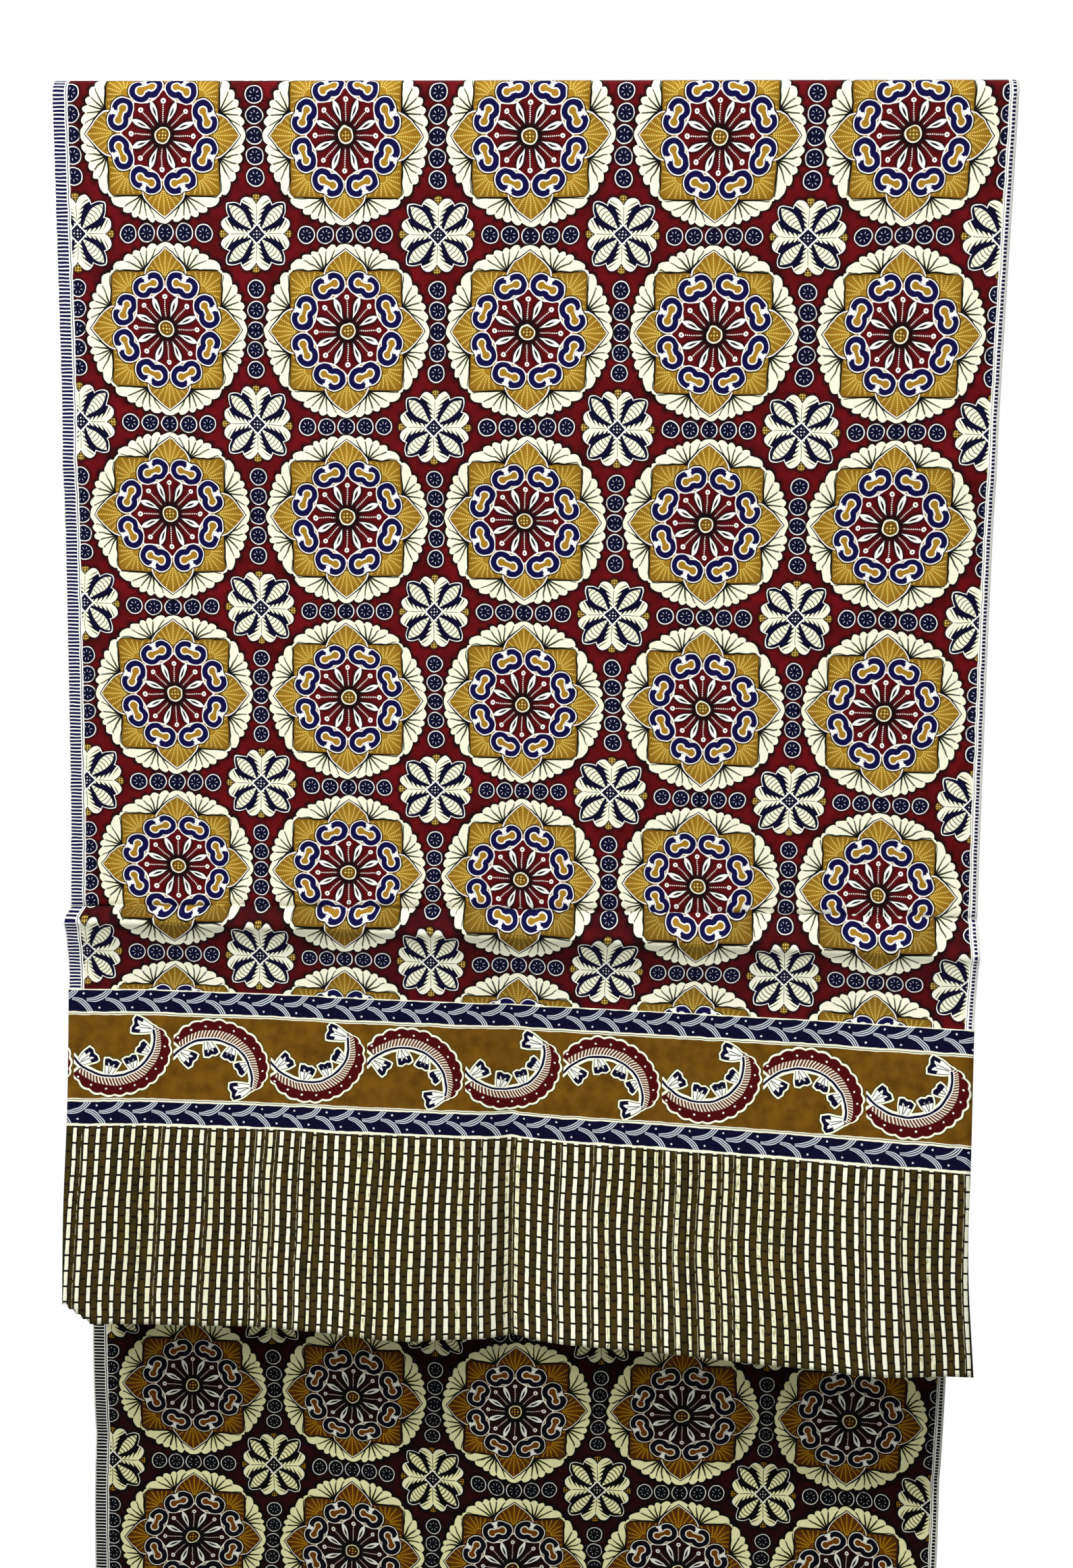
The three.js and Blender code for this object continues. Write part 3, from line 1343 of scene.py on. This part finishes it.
    def _clouds(self, art: Painting, u: Value, v: Value, wobble: Value) -> None:
        """Paints the curled navy clouds round the inner disc.

        Args:
            art: The painting.
            u: The larger distance from the middle.
            v: The smaller distance.
            wobble: Noise for the outlines.
        """
        middle = 0.249
        out = u * math.cos(SIXTEENTH) + v * math.sin(SIXTEENTH) - middle
        side = v * math.cos(SIXTEENTH) - u * math.sin(SIXTEENTH)
        away = abs(side)
        lobes = distance(out - 0.002, away - 0.0325) - 0.0195
        waist = larger(abs(out - 0.004) - 0.0115, (away - 0.0325) * 1.8)
        core = smaller(lobes, waist) + wobble * 0.0016
        band = abs(core - 0.0228) - 0.0152
        notch = distance(out - 0.043, side) - 0.0205
        curl = distance(out - 0.0385, away - 0.0225) - 0.0118
        navy = smaller(larger(band, -notch), curl)
        art.draw(Ink.BLACK, core - 0.047, 0.003, above(out, -0.01))
        art.fill(Ink.WHITE, core - 0.0432)
        art.fill(Ink.NAVY, navy)
        art.fill(Ink.GOLD, core)

    def _selvedges(self, art: Painting, across: Value, along: Value, wobble: Value) -> None:
        """Paints the white selvedges with their navy ticks.

        Args:
            art: The painting.
            across: Place across.
            along: Place along.
            wobble: Noise for the edges.
        """
        from_left = across + WIDTH / 2
        from_right = WIDTH / 2 - across
        edge = wobble * self.tremble
        tick = abs(from_repeat(along + wobble * 0.2, 2.05)) - 0.68
        layers = (
            (Ink.WHITE, from_left - 9.0 - edge),
            (Ink.NAVY, larger(tick, abs(from_left - 3.9 - wobble * 0.25) - 3.2)),
            (Ink.NAVY, abs(from_left - 8.0 - edge) - 0.22),
            (Ink.WHITE, from_right - 5.0 - edge),
            (Ink.NAVY, larger(tick, abs(from_right - 2.2 - wobble * 0.2) - 0.9)),
            (Ink.NAVY, abs(from_right - 4.2 - edge) - 0.12),
        )
        for ink, past in layers:
            art.lay(ink, cover(past, 0.35))


class Bud(NamedTuple):
    """A bell-shaped bud on a feather's inner side.

    Attributes:
        root_right: Its root, to the right of the feather's.
        root_low: Its root, towards the side that the feather curls to.
        mouth_right: The middle of its mouth, to the right of the feather's root.
        mouth_low: The same, towards the side that the feather curls to.
        half: Half its width at the mouth.
    """

    root_right: float
    root_low: float
    mouth_right: float
    mouth_low: float
    half: float


class BudPlace(NamedTuple):
    """A place in a bud.

    Attributes:
        raised: Share of the bud's length from its root.
        side: Distance from its middle line.
        past: Distance past its edge, negative inside.
    """

    raised: Value
    side: Value
    past: Value


class Arc(NamedTuple):
    """The arc of a braid's strokes.

    Attributes:
        radius: The radius of the middle stroke.
        start: Where the strokes start, to the right of the arc's centre.
    """

    radius: float
    start: float


@dataclass(frozen=True)
class BorderPrint:
    """The border: a gold band of curling feathers between two navy bands of braid.

    Its "along" is the height above the border's foot.
    """

    navy_band: float = 14.0
    feather_pitch: float = 57.4
    first_root: float = -256.6
    braid_pitch: float = 19.3
    soft: float = 0.35

    curl_right: float = 27.2  # the curl's middle, from the feather's root
    curl_low: float = 12.9
    curl_turn: float = math.radians(220)
    curl_inner: float = 18.5  # the stem's distance from the curl's middle where it ends
    curl_gain: float = 15.5  # how much further out it starts
    crest: float = 11.5  # greatest width of the feather outside its stem
    bud_turns: tuple[float, ...] = (35.0, 72.5, 110.0, 147.5)  # where the buds stand, in degrees
    end_turn: float = 190.0  # where the end bud stands
    end_lean: float = 25.0  # how far back it leans

    def _stem(self, share: Number) -> Number:
        """The stem's distance from the curl's middle, which tightens as a spiral does."""
        rest = 1.0 - share
        return rest * rest * self.curl_gain + self.curl_inner

    def _buds(self) -> list[Bud]:
        """Spaces four buds evenly along the stem, each pointing to the curl's middle, and one on its end.

        Returns:
            The buds, each smaller than the last but for the one on the end.
        """
        buds = []
        for number, degrees in enumerate((*self.bud_turns, self.end_turn)):
            at_end = number == len(self.bud_turns)
            turn = math.radians(degrees)
            reach = self._stem(turn / self.curl_turn)
            right = self.curl_right - reach * math.cos(turn)
            low = self.curl_low - reach * math.sin(turn)
            pointing = math.radians(degrees - self.end_lean) if at_end else turn
            length = 12.5 if at_end else 11.0 - number
            half = 5.0 if at_end else 4.6 * 0.93**number
            mouth_right = right + length * math.cos(pointing)
            mouth_low = low + length * abs(math.sin(pointing))
            buds.append(Bud(right, low, mouth_right, mouth_low, half))
        return buds

    def group(self) -> bpy.types.NodeTree:
        """Builds the border's node group.

        Returns:
            The group, which gives a colour for each place.
        """
        tree, across, height = new_group("Feather border", {"Color": "Color"})
        art = Painting(tree, Ink.BORDER_GOLD, self.soft)
        wobble = unevenness(across, height, 8.0, 1.0)
        x = across + wobble.across * 0.35
        y = height + wobble.along * 0.35
        blotch = unevenness(across, height, 9.0, 3.0)
        art.lay(Ink.BORDER_BROWN, calculate("ADD", blotch.along * 0.7, 0.4, clamped=True))
        self._feather(art, x, y - BORDER / 2)
        self._braid(art, x, y - self.navy_band / 2)
        self._braid(art, x + 8.0, y - BORDER + self.navy_band / 2)
        close_group(tree, [art.ground])
        return tree

    def _braid(self, art: Painting, x: Value, y: Value) -> None:
        """Paints a navy band of braid.

        Args:
            art: The painting.
            x: Place across.
            y: Height above the band's middle.
        """
        edge = abs(y) - self.navy_band / 2
        art.fill(Ink.NIGHT, edge)
        inside = cover(edge + 0.6, self.soft)
        self._arcs(art, x, y + 11.5, Arc(12.7, 1.0), inside)
        self._arcs(art, x - 11.2, 14.0 - y, Arc(13.5, -2.0), inside)
        upper = distance(from_repeat(x - 11.2 + 3.6, self.braid_pitch), y - 4.2) - 0.55
        lower = distance(from_repeat(x + 2.9, self.braid_pitch), y + 3.9) - 0.55
        art.fill(Ink.MIST, smaller(upper, lower))
        art.draw(Ink.CREAM, edge - 0.35, 1.0)
        art.draw(Ink.MOSS, edge - 0.55, 0.22)

    def _arcs(self, art: Painting, x: Value, y: Value, arc: Arc, inside: Value) -> None:
        """Paints one set of the braid's triple strokes, which fan out from their start.

        Args:
            art: The painting.
            x: Place across from a stroke's centre.
            y: Distance from the line of the strokes' centres.
            arc: The strokes' arc.
            inside: Where the band shows.
        """
        right = fraction((x + 3.0) / self.braid_pitch) * self.braid_pitch - 3.0
        spread = smaller((right - arc.start) * 0.09 + 0.5, 1.0)
        ring = (distance(right, y) - arc.radius) / spread
        within = cover(abs(ring) - 1.8, self.soft) * above(right, arc.start) * inside
        art.lay(Ink.NIGHT, within)
        art.draw(Ink.MIST, from_repeat(ring, 1.15), 0.26, within)

    def _feather(self, art: Painting, x: Value, y: Value) -> None:
        """Paints the row of feathers, each the other way up from the last.

        Args:
            art: The painting.
            x: Place across.
            y: Height above the row's middle.
        """
        count = (x - self.first_root) / self.feather_pitch
        number = calculate("FLOOR", count)
        right = fraction(count) * self.feather_pitch
        low = y * (1.0 - fraction(number / 2.0) * 4.0)
        from_x = right - self.curl_right
        from_y = self.curl_low - low
        reach = distance(from_x, from_y)
        turn = fraction(angle(from_y, -from_x) / (2 * math.pi)) * 2 * math.pi
        share = turn / self.curl_turn
        stem = self._stem(share)
        bulge = (share - 0.5) * (share - 0.5) * 6.25
        outline = stem + (1.0 - bulge * bulge) * self.crest
        scallop = abs(sine(turn * 15.0))
        rim = larger(reach - outline - scallop + 0.6, larger(stem - reach, (0.68 - turn) * 26.0))
        past_stem = reach - stem
        on_stem = larger(abs(past_stem) - 1.2, larger((0.43 - turn) * 26.0, (turn - 3.34) * 20.0))
        buds = [self._bud(right, low, bud) for bud in self._buds()]
        union = smaller(rim, on_stem)
        for bud in buds:
            union = smaller(union, bud.past)
        art.draw(Ink.MOSS, union - 1.3, 0.3)
        art.fill(Ink.CREAM, union - 0.95)
        art.fill(Ink.DARK_MAROON, rim + 0.2)
        inside_rim = cover(rim + 0.8, self.soft)
        comb = leaf_width(turn / 3.6) * 3.6 + 2.0
        barb = from_repeat(turn - past_stem * 0.022, 0.066) * 24.0
        on_comb = cover(past_stem - comb, self.soft) * inside_rim
        art.lay(Ink.ROSE, on_comb * 0.12)
        art.draw(Ink.CREAM, barb, 0.28, on_comb)
        bead = distance(from_repeat(turn, 0.262) * 31.0, past_stem - comb - 2.3) - 0.55
        art.fill(Ink.WHITE, bead, inside_rim)
        for bud in buds:
            self._bud_heart(art, bud)
        art.fill(Ink.WHITE, on_stem)
        art.fill(Ink.NIGHT, on_stem + 0.5)

    def _bud(self, right: Value, low: Value, bud: Bud) -> BudPlace:
        """Works out the place in a bell-shaped bud.

        Args:
            right: Place to the right of the feather's root.
            low: Place towards the side that the feather curls to.
            bud: The bud.

        Returns:
            The place, with its distance past the bud's edge.
        """
        length = math.hypot(bud.mouth_right - bud.root_right, bud.mouth_low - bud.root_low)
        to_right = (bud.mouth_right - bud.root_right) / length
        to_low = (bud.mouth_low - bud.root_low) / length
        raised = (right - bud.root_right) * to_right + (low - bud.root_low) * to_low
        side = abs((right - bud.root_right) * to_low - (low - bud.root_low) * to_right)
        half = bud.half * (sine(raised / length * (0.55 * math.pi)) * 0.66 + 0.34)
        mouth = raised - length + abs(side - bud.half * 0.5) * 0.35
        past = larger(side - half, larger(mouth, -raised))
        return BudPlace(raised / length, side, past)

    def _bud_heart(self, art: Painting, bud: BudPlace) -> None:
        """Paints a bud's white bell with its dark lip and its veins.

        Args:
            art: The painting.
            bud: The place in the bud.
        """
        art.fill(Ink.MOSS, bud.past)
        art.fill(Ink.WHITE, bud.past + 0.45)
        vein = bud.side - bud.raised * 1.6
        art.draw(Ink.MOSS, vein, 0.24, cover(bud.past + 0.9, self.soft) * below(bud.raised, 0.66))
        notch = larger(1.3 - bud.side * 0.9, 0.0)
        thick = larger(-bud.past - 2.3 - notch, (0.56 - bud.raised) * 8.0)
        art.fill(Ink.NIGHT, larger(bud.past + 0.1, thick))


@dataclass(frozen=True)
class StripePrint:
    """The striped end: brown bars and cream bars in turn, both with joints.

    Its "along" is the height above the hem.
    """

    pitch: float = 6.67
    joint: float = 9.4
    soft: float = 0.4

    def group(self) -> bpy.types.NodeTree:
        """Builds the striped end's node group.

        Returns:
            The group, which gives a colour for each place.
        """
        tree, across, height = new_group("Striped end", {"Color": "Color"})
        art = Painting(tree, Ink.BROWN, self.soft)
        sway = unevenness(across, height, 40.0)
        rough = unevenness(across * 1.4, height * 0.35, 1.6, 1.0)
        blotch = unevenness(across * 2.0, height, 13.0, 2.0)
        lean = (STRIPES - height) * (0.022 - across * 0.00005)
        x = across + WIDTH / 2 + sway.across * 0.45 + lean
        number = calculate("FLOOR", x / self.pitch)
        place = fraction(x / self.pitch) * self.pitch + rough.across * 0.12
        width, kind, scratch = (chance(number, seed) for seed in (0.5, 1.5, 2.5))
        art.lay(Ink.GREEN_BROWN, calculate("ADD", blotch.across * 0.8, 0.45, clamped=True))
        y = height + sway.along * 0.6 + kind * 1.6
        knot = distance(from_repeat(y, self.joint) / 1.1, (place - 2.05) / 3.2) - 0.55
        art.lay(Ink.BLACK, cover(knot, 0.7) * 0.95)
        for edge, half in ((0.1, 0.38), (3.92, 0.42)):
            art.lay(Ink.BLACK, cover(abs(place - edge) - half, 0.8) * 0.95)
        line = abs(place - 3.35 + width * 1.6 - rough.along * 0.15) - 0.13
        art.lay(
            Ink.BUTTER, cover(line, 0.35) * above(scratch, 0.66) * above(rough.across, -0.25) * 0.65
        )
        half = 1.0 + width * 0.22 - above(kind, 0.86) * 0.3
        bar = abs(place - 5.25 - rough.along * 0.08) - half
        art.fill(Ink.BLACK, bar - 0.42)
        art.fill(Ink.CREAM, bar)
        art.lay(Ink.BUTTER, cover(bar, self.soft) * above(kind, 0.6) * 0.6)
        worn = above(kind, 0.7) * above(rough.along, 0.3) * cover(bar, self.soft)
        art.lay(Ink.OLIVE, worn * 0.55)
        cream_joint = abs(from_repeat(y + self.joint / 2, self.joint)) - 0.6
        art.lay(Ink.BLACK, cover(cream_joint, 0.35) * cover(bar - 0.6, 0.5))
        top = abs(height - STRIPES + 0.2 + sway.across * 0.4) - 0.5
        art.lay(Ink.CREAM, cover(top, self.soft))
        close_group(tree, [art.ground])
        return tree


def weave_group() -> bpy.types.NodeTree:
    """Builds the node group for plain-weave cotton.

    Returns:
        The group, which gives the threads' height and how dark the cotton is in places.
    """
    tree, across, along = new_group("Cotton weave", {"Height": "Float", "Tone": "Float"})
    thread = 0.42
    warp = sine(across * (2 * math.pi / thread))
    weft = sine(along * (2 * math.pi / thread))
    slub = unevenness(across, along * 0.12, 0.8, 1.0)
    crinkle = unevenness(across, along, 9.0, 2.0)
    height = warp * weft * 0.03 + slub.across * 0.02 + crinkle.along * 0.09
    tone = calculate("MULTIPLY_ADD", slub.along, 0.035, 0.965)
    close_group(tree, [height.socket, tone.socket])
    return tree


class Side(Enum):
    """A side of the cloth, with how light, how deep and how strongly coloured its print is. The wrong
    side's darker, deeper values are partly its duller print and partly painted shade for the back panel,
    which hangs in the front panel's shadow.
    """

    RIGHT = ("right side", 1.0, 1.0, 1.0)
    # Partly painted shade: the wrong side is darkened to stand in for the shadow on the back panel.
    WRONG = ("wrong side", 0.68, 1.9, 1.2)


@dataclass(frozen=True)
class Finish:
    """A printed cotton finish for one part of the cloth's length and one of its sides.

    Attributes:
        title: The part of the cloth.
        print_group: The group that gives its colour.
        weave: The group that gives its threads.
        offset: What is added to "along", once it is turned, to give the print's own.
        turned: -1 where the print's "along" runs the other way.
        side: The side.
        relief: How strongly the threads stand out.
        roughness: The cotton's roughness.
        specular: How strongly it reflects.
        sheen: How strong its sheen is.
        sheen_roughness: How rough its sheen is.
    """

    title: str
    print_group: bpy.types.NodeTree
    weave: bpy.types.NodeTree
    offset: float
    turned: int
    side: Side
    relief: float = 0.6
    roughness: float = 0.85
    specular: float = 0.07
    sheen: float = 0.015
    sheen_roughness: float = 0.5

    def material(self) -> bpy.types.Material:
        """Builds the material.

        Returns:
            The material.
        """
        # The wrong side's lightness and depth hold painted shade as well as its duller print.
        label, lightness_and_painted_shade, depth, strength = self.side.value
        made = bpy.data.materials.new(f"{self.title}, {label}")
        made.use_nodes = True
        tree = made.node_tree
        tree.nodes.clear()
        across, along = self._place(tree)
        colours = place_group(tree, self.print_group, across, along * self.turned + self.offset)
        weave = place_group(tree, self.weave, across, along)
        deep = add_node(tree, "ShaderNodeGamma", {"Gamma": depth})
        tree.links.new(colours.outputs["Color"], deep.inputs["Color"])
        fade = add_node(tree, "ShaderNodeHueSaturation", {"Saturation": strength})
        join(tree, Value(tree, weave.outputs["Tone"]) * lightness_and_painted_shade, fade.inputs["Value"])
        tree.links.new(deep.outputs["Color"], fade.inputs["Color"])
        bump = add_node(tree, "ShaderNodeBump", {"Strength": self.relief, "Distance": MM})
        tree.links.new(weave.outputs["Height"], bump.inputs["Height"])
        cotton = {
            "Roughness": self.roughness,
            "Specular IOR Level": self.specular,
            "Sheen Weight": self.sheen,
            "Sheen Roughness": self.sheen_roughness,
        }
        shader = add_node(tree, "ShaderNodeBsdfPrincipled", cotton)
        tree.links.new(fade.outputs["Color"], shader.inputs["Base Color"])
        tree.links.new(bump.outputs["Normal"], shader.inputs["Normal"])
        output = tree.nodes.new("ShaderNodeOutputMaterial")
        tree.links.new(shader.outputs["BSDF"], output.inputs["Surface"])
        arrange(tree)
        return made

    @staticmethod
    def _place(tree: bpy.types.NodeTree) -> tuple[Value, Value]:
        """Reads the place on the cloth from the piece's own map.

        Args:
            tree: The material's node tree.

        Returns:
            Across and along.
        """
        place = tree.nodes.new("ShaderNodeUVMap")
        place.uv_map = Cloth.PLACE_MAP
        split = tree.nodes.new("ShaderNodeSeparateXYZ")
        tree.links.new(place.outputs["UV"], split.inputs[0])
        across, along = (Value(tree, split.outputs[i]) for i in (0, 1))
        return across / MM, along / MM


class Zone(Enum):
    """A part of the cloth's length that has a print of its own."""

    FRONT_STRIPES = 0
    FRONT_BORDER = 1
    FIELD = 2
    BACK_BORDER = 3
    BACK_STRIPES = 4

    @staticmethod
    def at(along: float) -> "Zone":
        """Finds the zone at a length along the cloth.

        Args:
            along: Length along.

        Returns:
            The zone.
        """
        if along > FRONT_BORDER_FOOT:
            return Zone.FRONT_STRIPES
        if along > FRONT_BORDER_TOP:
            return Zone.FRONT_BORDER
        if along > -BACK_BORDER_TOP:
            return Zone.FIELD
        return Zone.BACK_BORDER if along > -BACK_BORDER_FOOT else Zone.BACK_STRIPES


BAKE_MARGIN = 0.002  # bare strip round the square that the print is baked into


class BakeColumn(NamedTuple):
    """A column of the square that the print is baked into, and the length of cloth that fills it.

    Attributes:
        left: Where it starts in the square.
        width: Its width in the square.
        start: Length along the cloth at its foot.
        end: Length along the cloth at its head.
    """

    left: float
    width: float
    start: float
    end: float

    def place(self, across: float, along: float) -> tuple[float, float]:
        """Gives the place in the square of a place on the cloth.

        Args:
            across: Place across.
            along: Place along.

        Returns:
            The place in the square, from 0 to 1 each way.
        """
        share = (along - self.start) / (self.end - self.start)
        height = 1 - 2 * BAKE_MARGIN
        return self.left + (across / WIDTH + 0.5) * self.width, BAKE_MARGIN + share * height


@dataclass
class Cloth:
    """The one length of cloth, as a closed sheet in its hanging shape."""

    PLACE_MAP = "ClothPlace"
    BAKE_MAP = "OFBake"
    FRONT_COLUMN = BakeColumn(BAKE_MARGIN, 0.366, 0.0, FRONT_DROP)
    BACK_COLUMN = BakeColumn(0.37, 0.366, -BACK_DROP, 0.0)
    WRONG_COLUMN = BakeColumn(0.738, 0.26, -BACK_DROP, FRONT_DROP)

    shape: HangingShape
    name: str = "hung_batik"

    def build(self) -> bpy.types.Object:
        """Makes the sheet and dresses it.

        Returns:
            The sheet's object.
        """
        mesh = bpy.data.meshes.new(self.name)
        sheet = bmesh.new()
        self._weave_sheet(sheet)
        sheet.to_mesh(mesh)
        sheet.free()
        for finish in self._finishes():
            mesh.materials.append(finish.material())
        piece = bpy.data.objects.new(self.name, mesh)
        bpy.context.collection.objects.link(piece)
        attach(piece, "root")
        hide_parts(CAD_NODE)
        return piece

    def _finishes(self) -> list[Finish]:
        """Lists the finishes: those of the right side by zone, then those of the wrong side.

        Returns:
            The finishes, in the order of the material slots.
        """
        weave = weave_group()
        stripes = StripePrint().group()
        border = BorderPrint().group()
        medallions = FieldPrint().group()
        prints = (
            ("Striped front end", stripes, FRONT_DROP, -1),
            ("Front border", border, FRONT_BORDER_FOOT, -1),
            ("Medallion field", medallions, 0.0, 1),
            ("Back border", border, BACK_BORDER_FOOT, 1),
            ("Striped back end", stripes, BACK_DROP, 1),
        )
        return [
            Finish(title, group, weave, offset, turned, side)
            for side in Side
            for title, group, offset, turned in prints
        ]

    def _weave_sheet(self, sheet: bmesh.types.BMesh) -> None:
        """Makes a flat divided sheet, thickens it and hangs it.

        Args:
            sheet: The empty mesh to fill.
        """
        across_lines = divided(ACROSS_SPANS)
        along_lines = divided(ALONG_SPANS)
        columns = len(across_lines) - 1
        rows = len(along_lines) - 1
        bmesh.ops.create_grid(sheet, x_segments=columns, y_segments=rows, size=0.5)
        for vertex in sheet.verts:
            vertex.co.x = across_lines[round((vertex.co.x + 0.5) * columns)]
            vertex.co.y = along_lines[round((0.5 - vertex.co.y) * rows)]
        wrong_side = sheet.faces[:]
        made = bmesh.ops.extrude_face_region(sheet, geom=wrong_side, use_keep_orig=True)["geom"]
        right_side = {part for part in made if isinstance(part, bmesh.types.BMFace)}
        lifted = {part for part in made if isinstance(part, bmesh.types.BMVert)}
        self._sort_faces(sheet, set(wrong_side), right_side)
        self._hang(sheet, lifted)
        bmesh.ops.recalc_face_normals(sheet, faces=sheet.faces[:])

    def _sort_faces(
        self,
        sheet: bmesh.types.BMesh,
        wrong_side: set[bmesh.types.BMFace],
        right_side: set[bmesh.types.BMFace],
    ) -> None:
        """Gives each face its finish, its place on the cloth and its place in the bake.

        Args:
            sheet: The sheet, still flat.
            wrong_side: The faces of the wrong side.
            right_side: The faces of the right side.
        """
        zones = len(Zone)
        places = sheet.loops.layers.uv.new(self.PLACE_MAP)
        baked = sheet.loops.layers.uv.new(self.BAKE_MAP)
        for face in sheet.faces:
            along = face.calc_center_median().y
            wrong = face in wrong_side
            face.material_index = Zone.at(along).value + (zones if wrong else 0)
            face.smooth = wrong or face in right_side
            right_column = self.FRONT_COLUMN if along > 0 else self.BACK_COLUMN
            column = self.WRONG_COLUMN if wrong else right_column
            for loop in face.loops:
                spot = loop.vert.co
                loop[places].uv = (spot.x * MM, spot.y * MM)
                loop[baked].uv = column.place(spot.x, spot.y)

    def _hang(self, sheet: bmesh.types.BMesh, lifted: set[bmesh.types.BMVert]) -> None:
        """Moves every point of the flat sheet to its place on the hanging cloth.

        Args:
            sheet: The sheet, still flat.
            lifted: The points of the right side.
        """
        across = np.array([vertex.co.x for vertex in sheet.verts])
        along = np.array([vertex.co.y for vertex in sheet.verts])
        up = np.array([THICKNESS if vertex in lifted else 0.0 for vertex in sheet.verts])
        shape = self.shape
        spots = shape.turned(across, along)
        spots += up[:, None] * shape.facing(shape.turned, across, along)
        for vertex, spot in zip(sheet.verts, spots * MM):
            vertex.co = spot


class Lamp(NamedTuple):
    """A square soft light.

    Attributes:
        name: Its name.
        place: Where it stands.
        target: Where it points.
        size: Its width and height.
        power: Its power in watts.
    """

    name: str
    place: tuple[float, float, float]
    target: tuple[float, float, float]
    size: float
    power: float


@dataclass
class Studio:
    """The plain pale room, its soft lights and the camera. Its lengths are in metres."""

    LAMPS = (
        Lamp("high", (-0.45, -1.1, 0.6), (0.0, 0.0, -0.1), 0.7, 14.5),
        Lamp("fill", (0.9, -3.0, 0.1), (0.0, 0.0, -0.4), 2.6, 4.0),
        Lamp("back", (0.3, 2.6, 1.3), (0.0, 0.0, -0.6), 2.6, 85.0),
    )

    sun_towards: tuple[float, float, float] = (-0.24, -0.44, 1.0)
    sun_power: float = 2.3  # watts per square metre
    sun_angle: float = 9.0  # how wide it looks from the cloth, in degrees
    room_light: float = 0.09  # how bright the white room is as a light
    floor_grey: float = 0.6
    floor_roughness: float = 0.9
    floor_height: float = -1.45
    floor_reach: float = 6.0
    camera_place: tuple[float, float, float] = (0.07871, -0.92414, -0.21882)
    pitch: float = -10.122  # degrees up
    yaw: float = 4.14  # degrees to the left
    roll: float = 0.971
    photo_height: float = 2324.0
    focal_pixels: float = 2400.0
    sensor: float = 36.0  # millimetres

    def build(self) -> None:
        """Sets up the room, the lights, the camera and the view."""
        self._room()
        self._sun()
        for lamp in self.LAMPS:
            self._light(lamp)
        self._surroundings()
        self._camera()
        bpy.context.scene.view_settings.view_transform = "Standard"

    def _room(self) -> None:
        """Makes the pale floor."""
        mesh = bpy.data.meshes.new("floor")
        floor = bmesh.new()
        bmesh.ops.create_grid(floor, x_segments=1, y_segments=1, size=self.floor_reach)
        bmesh.ops.translate(floor, vec=(0, 0, self.floor_height), verts=floor.verts)
        floor.to_mesh(mesh)
        floor.free()
        paint = bpy.data.materials.new("Pale floor")
        paint.use_nodes = True
        tree = paint.node_tree
        shader = tree.nodes["Principled BSDF"]
        shader.inputs["Base Color"].default_value = (*[self.floor_grey] * 3, 1)
        shader.inputs["Roughness"].default_value = self.floor_roughness
        glow = tree.nodes.new("ShaderNodeEmission")
        path = tree.nodes.new("ShaderNodeLightPath")
        blend = tree.nodes.new("ShaderNodeMixShader")
        tree.links.new(path.outputs["Is Camera Ray"], blend.inputs["Fac"])
        tree.links.new(shader.outputs["BSDF"], blend.inputs[1])
        tree.links.new(glow.outputs["Emission"], blend.inputs[2])
        tree.links.new(blend.outputs["Shader"], tree.nodes["Material Output"].inputs["Surface"])
        mesh.materials.append(paint)
        piece = bpy.data.objects.new("floor", mesh)
        bpy.context.collection.objects.link(piece)

    def _sun(self) -> None:
        """Adds the high main light, as even over the cloth's length as a window's."""
        data = bpy.data.lights.new("main", "SUN")
        data.energy = self.sun_power
        data.angle = math.radians(self.sun_angle)
        light = bpy.data.objects.new("main", data)
        light.rotation_euler = Vector(self.sun_towards).to_track_quat("Z", "Y").to_euler()
        bpy.context.collection.objects.link(light)

    def _light(self, lamp: Lamp) -> None:
        """Adds a soft light.

        Args:
            lamp: The light.
        """
        data = bpy.data.lights.new(lamp.name, "AREA")
        data.shape = "SQUARE"
        data.size = lamp.size
        data.energy = lamp.power
        light = bpy.data.objects.new(lamp.name, data)
        light.location = lamp.place
        aim = Vector(lamp.target) - Vector(lamp.place)
        light.rotation_euler = aim.to_track_quat("-Z", "Y").to_euler()
        bpy.context.collection.objects.link(light)

    def _surroundings(self) -> None:
        """Makes the surroundings white to look at, and dimmer as a light."""
        world = bpy.data.worlds.new("White room")
        world.use_nodes = True
        tree = world.node_tree
        background = tree.nodes["Background"]
        background.inputs["Color"].default_value = (1, 1, 1, 1)
        path = tree.nodes.new("ShaderNodeLightPath")
        seen = Value(tree, path.outputs["Is Camera Ray"])
        strength = seen * (1 - self.room_light) + self.room_light
        join(tree, strength, background.inputs["Strength"])
        bpy.context.scene.world = world

    def _camera(self) -> None:
        """Adds the camera where the photograph was taken from."""
        data = bpy.data.cameras.new("camera")
        data.sensor_width = self.sensor
        data.lens = self.sensor * self.focal_pixels / self.photo_height
        camera = bpy.data.objects.new("camera", data)
        turn = (
            Matrix.Rotation(math.radians(self.yaw), 4, "Z")
            @ Matrix.Rotation(math.radians(90 + self.pitch), 4, "X")
            @ Matrix.Rotation(math.radians(self.roll), 4, "Z")
        )
        camera.matrix_world = Matrix.Translation(self.camera_place) @ turn
        bpy.context.collection.objects.link(camera)
        bpy.context.scene.camera = camera


def main() -> None:
    """Builds the studio and the cloth."""
    logging.basicConfig(level=logging.INFO, format="%(name)s: %(message)s")
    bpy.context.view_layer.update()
    Studio().build()
    shape = HangingShape(
        front=Panel(
            FRONT_HANG, FRONT_CREASES, FRONT_RIDGES, FRONT_FOLDS, FRONT_PUCKERS, FRONT_DROP, -1
        ),
        back=Panel(BACK_HANG, BACK_CREASES, BACK_RIDGES, BACK_FOLDS, BACK_PUCKERS, BACK_DROP, 1),
    )
    cloth = Cloth(shape).build()
    log.info("%s: %d faces", cloth.name, len(cloth.data.polygons))


if __name__ == "__main__":
    main()
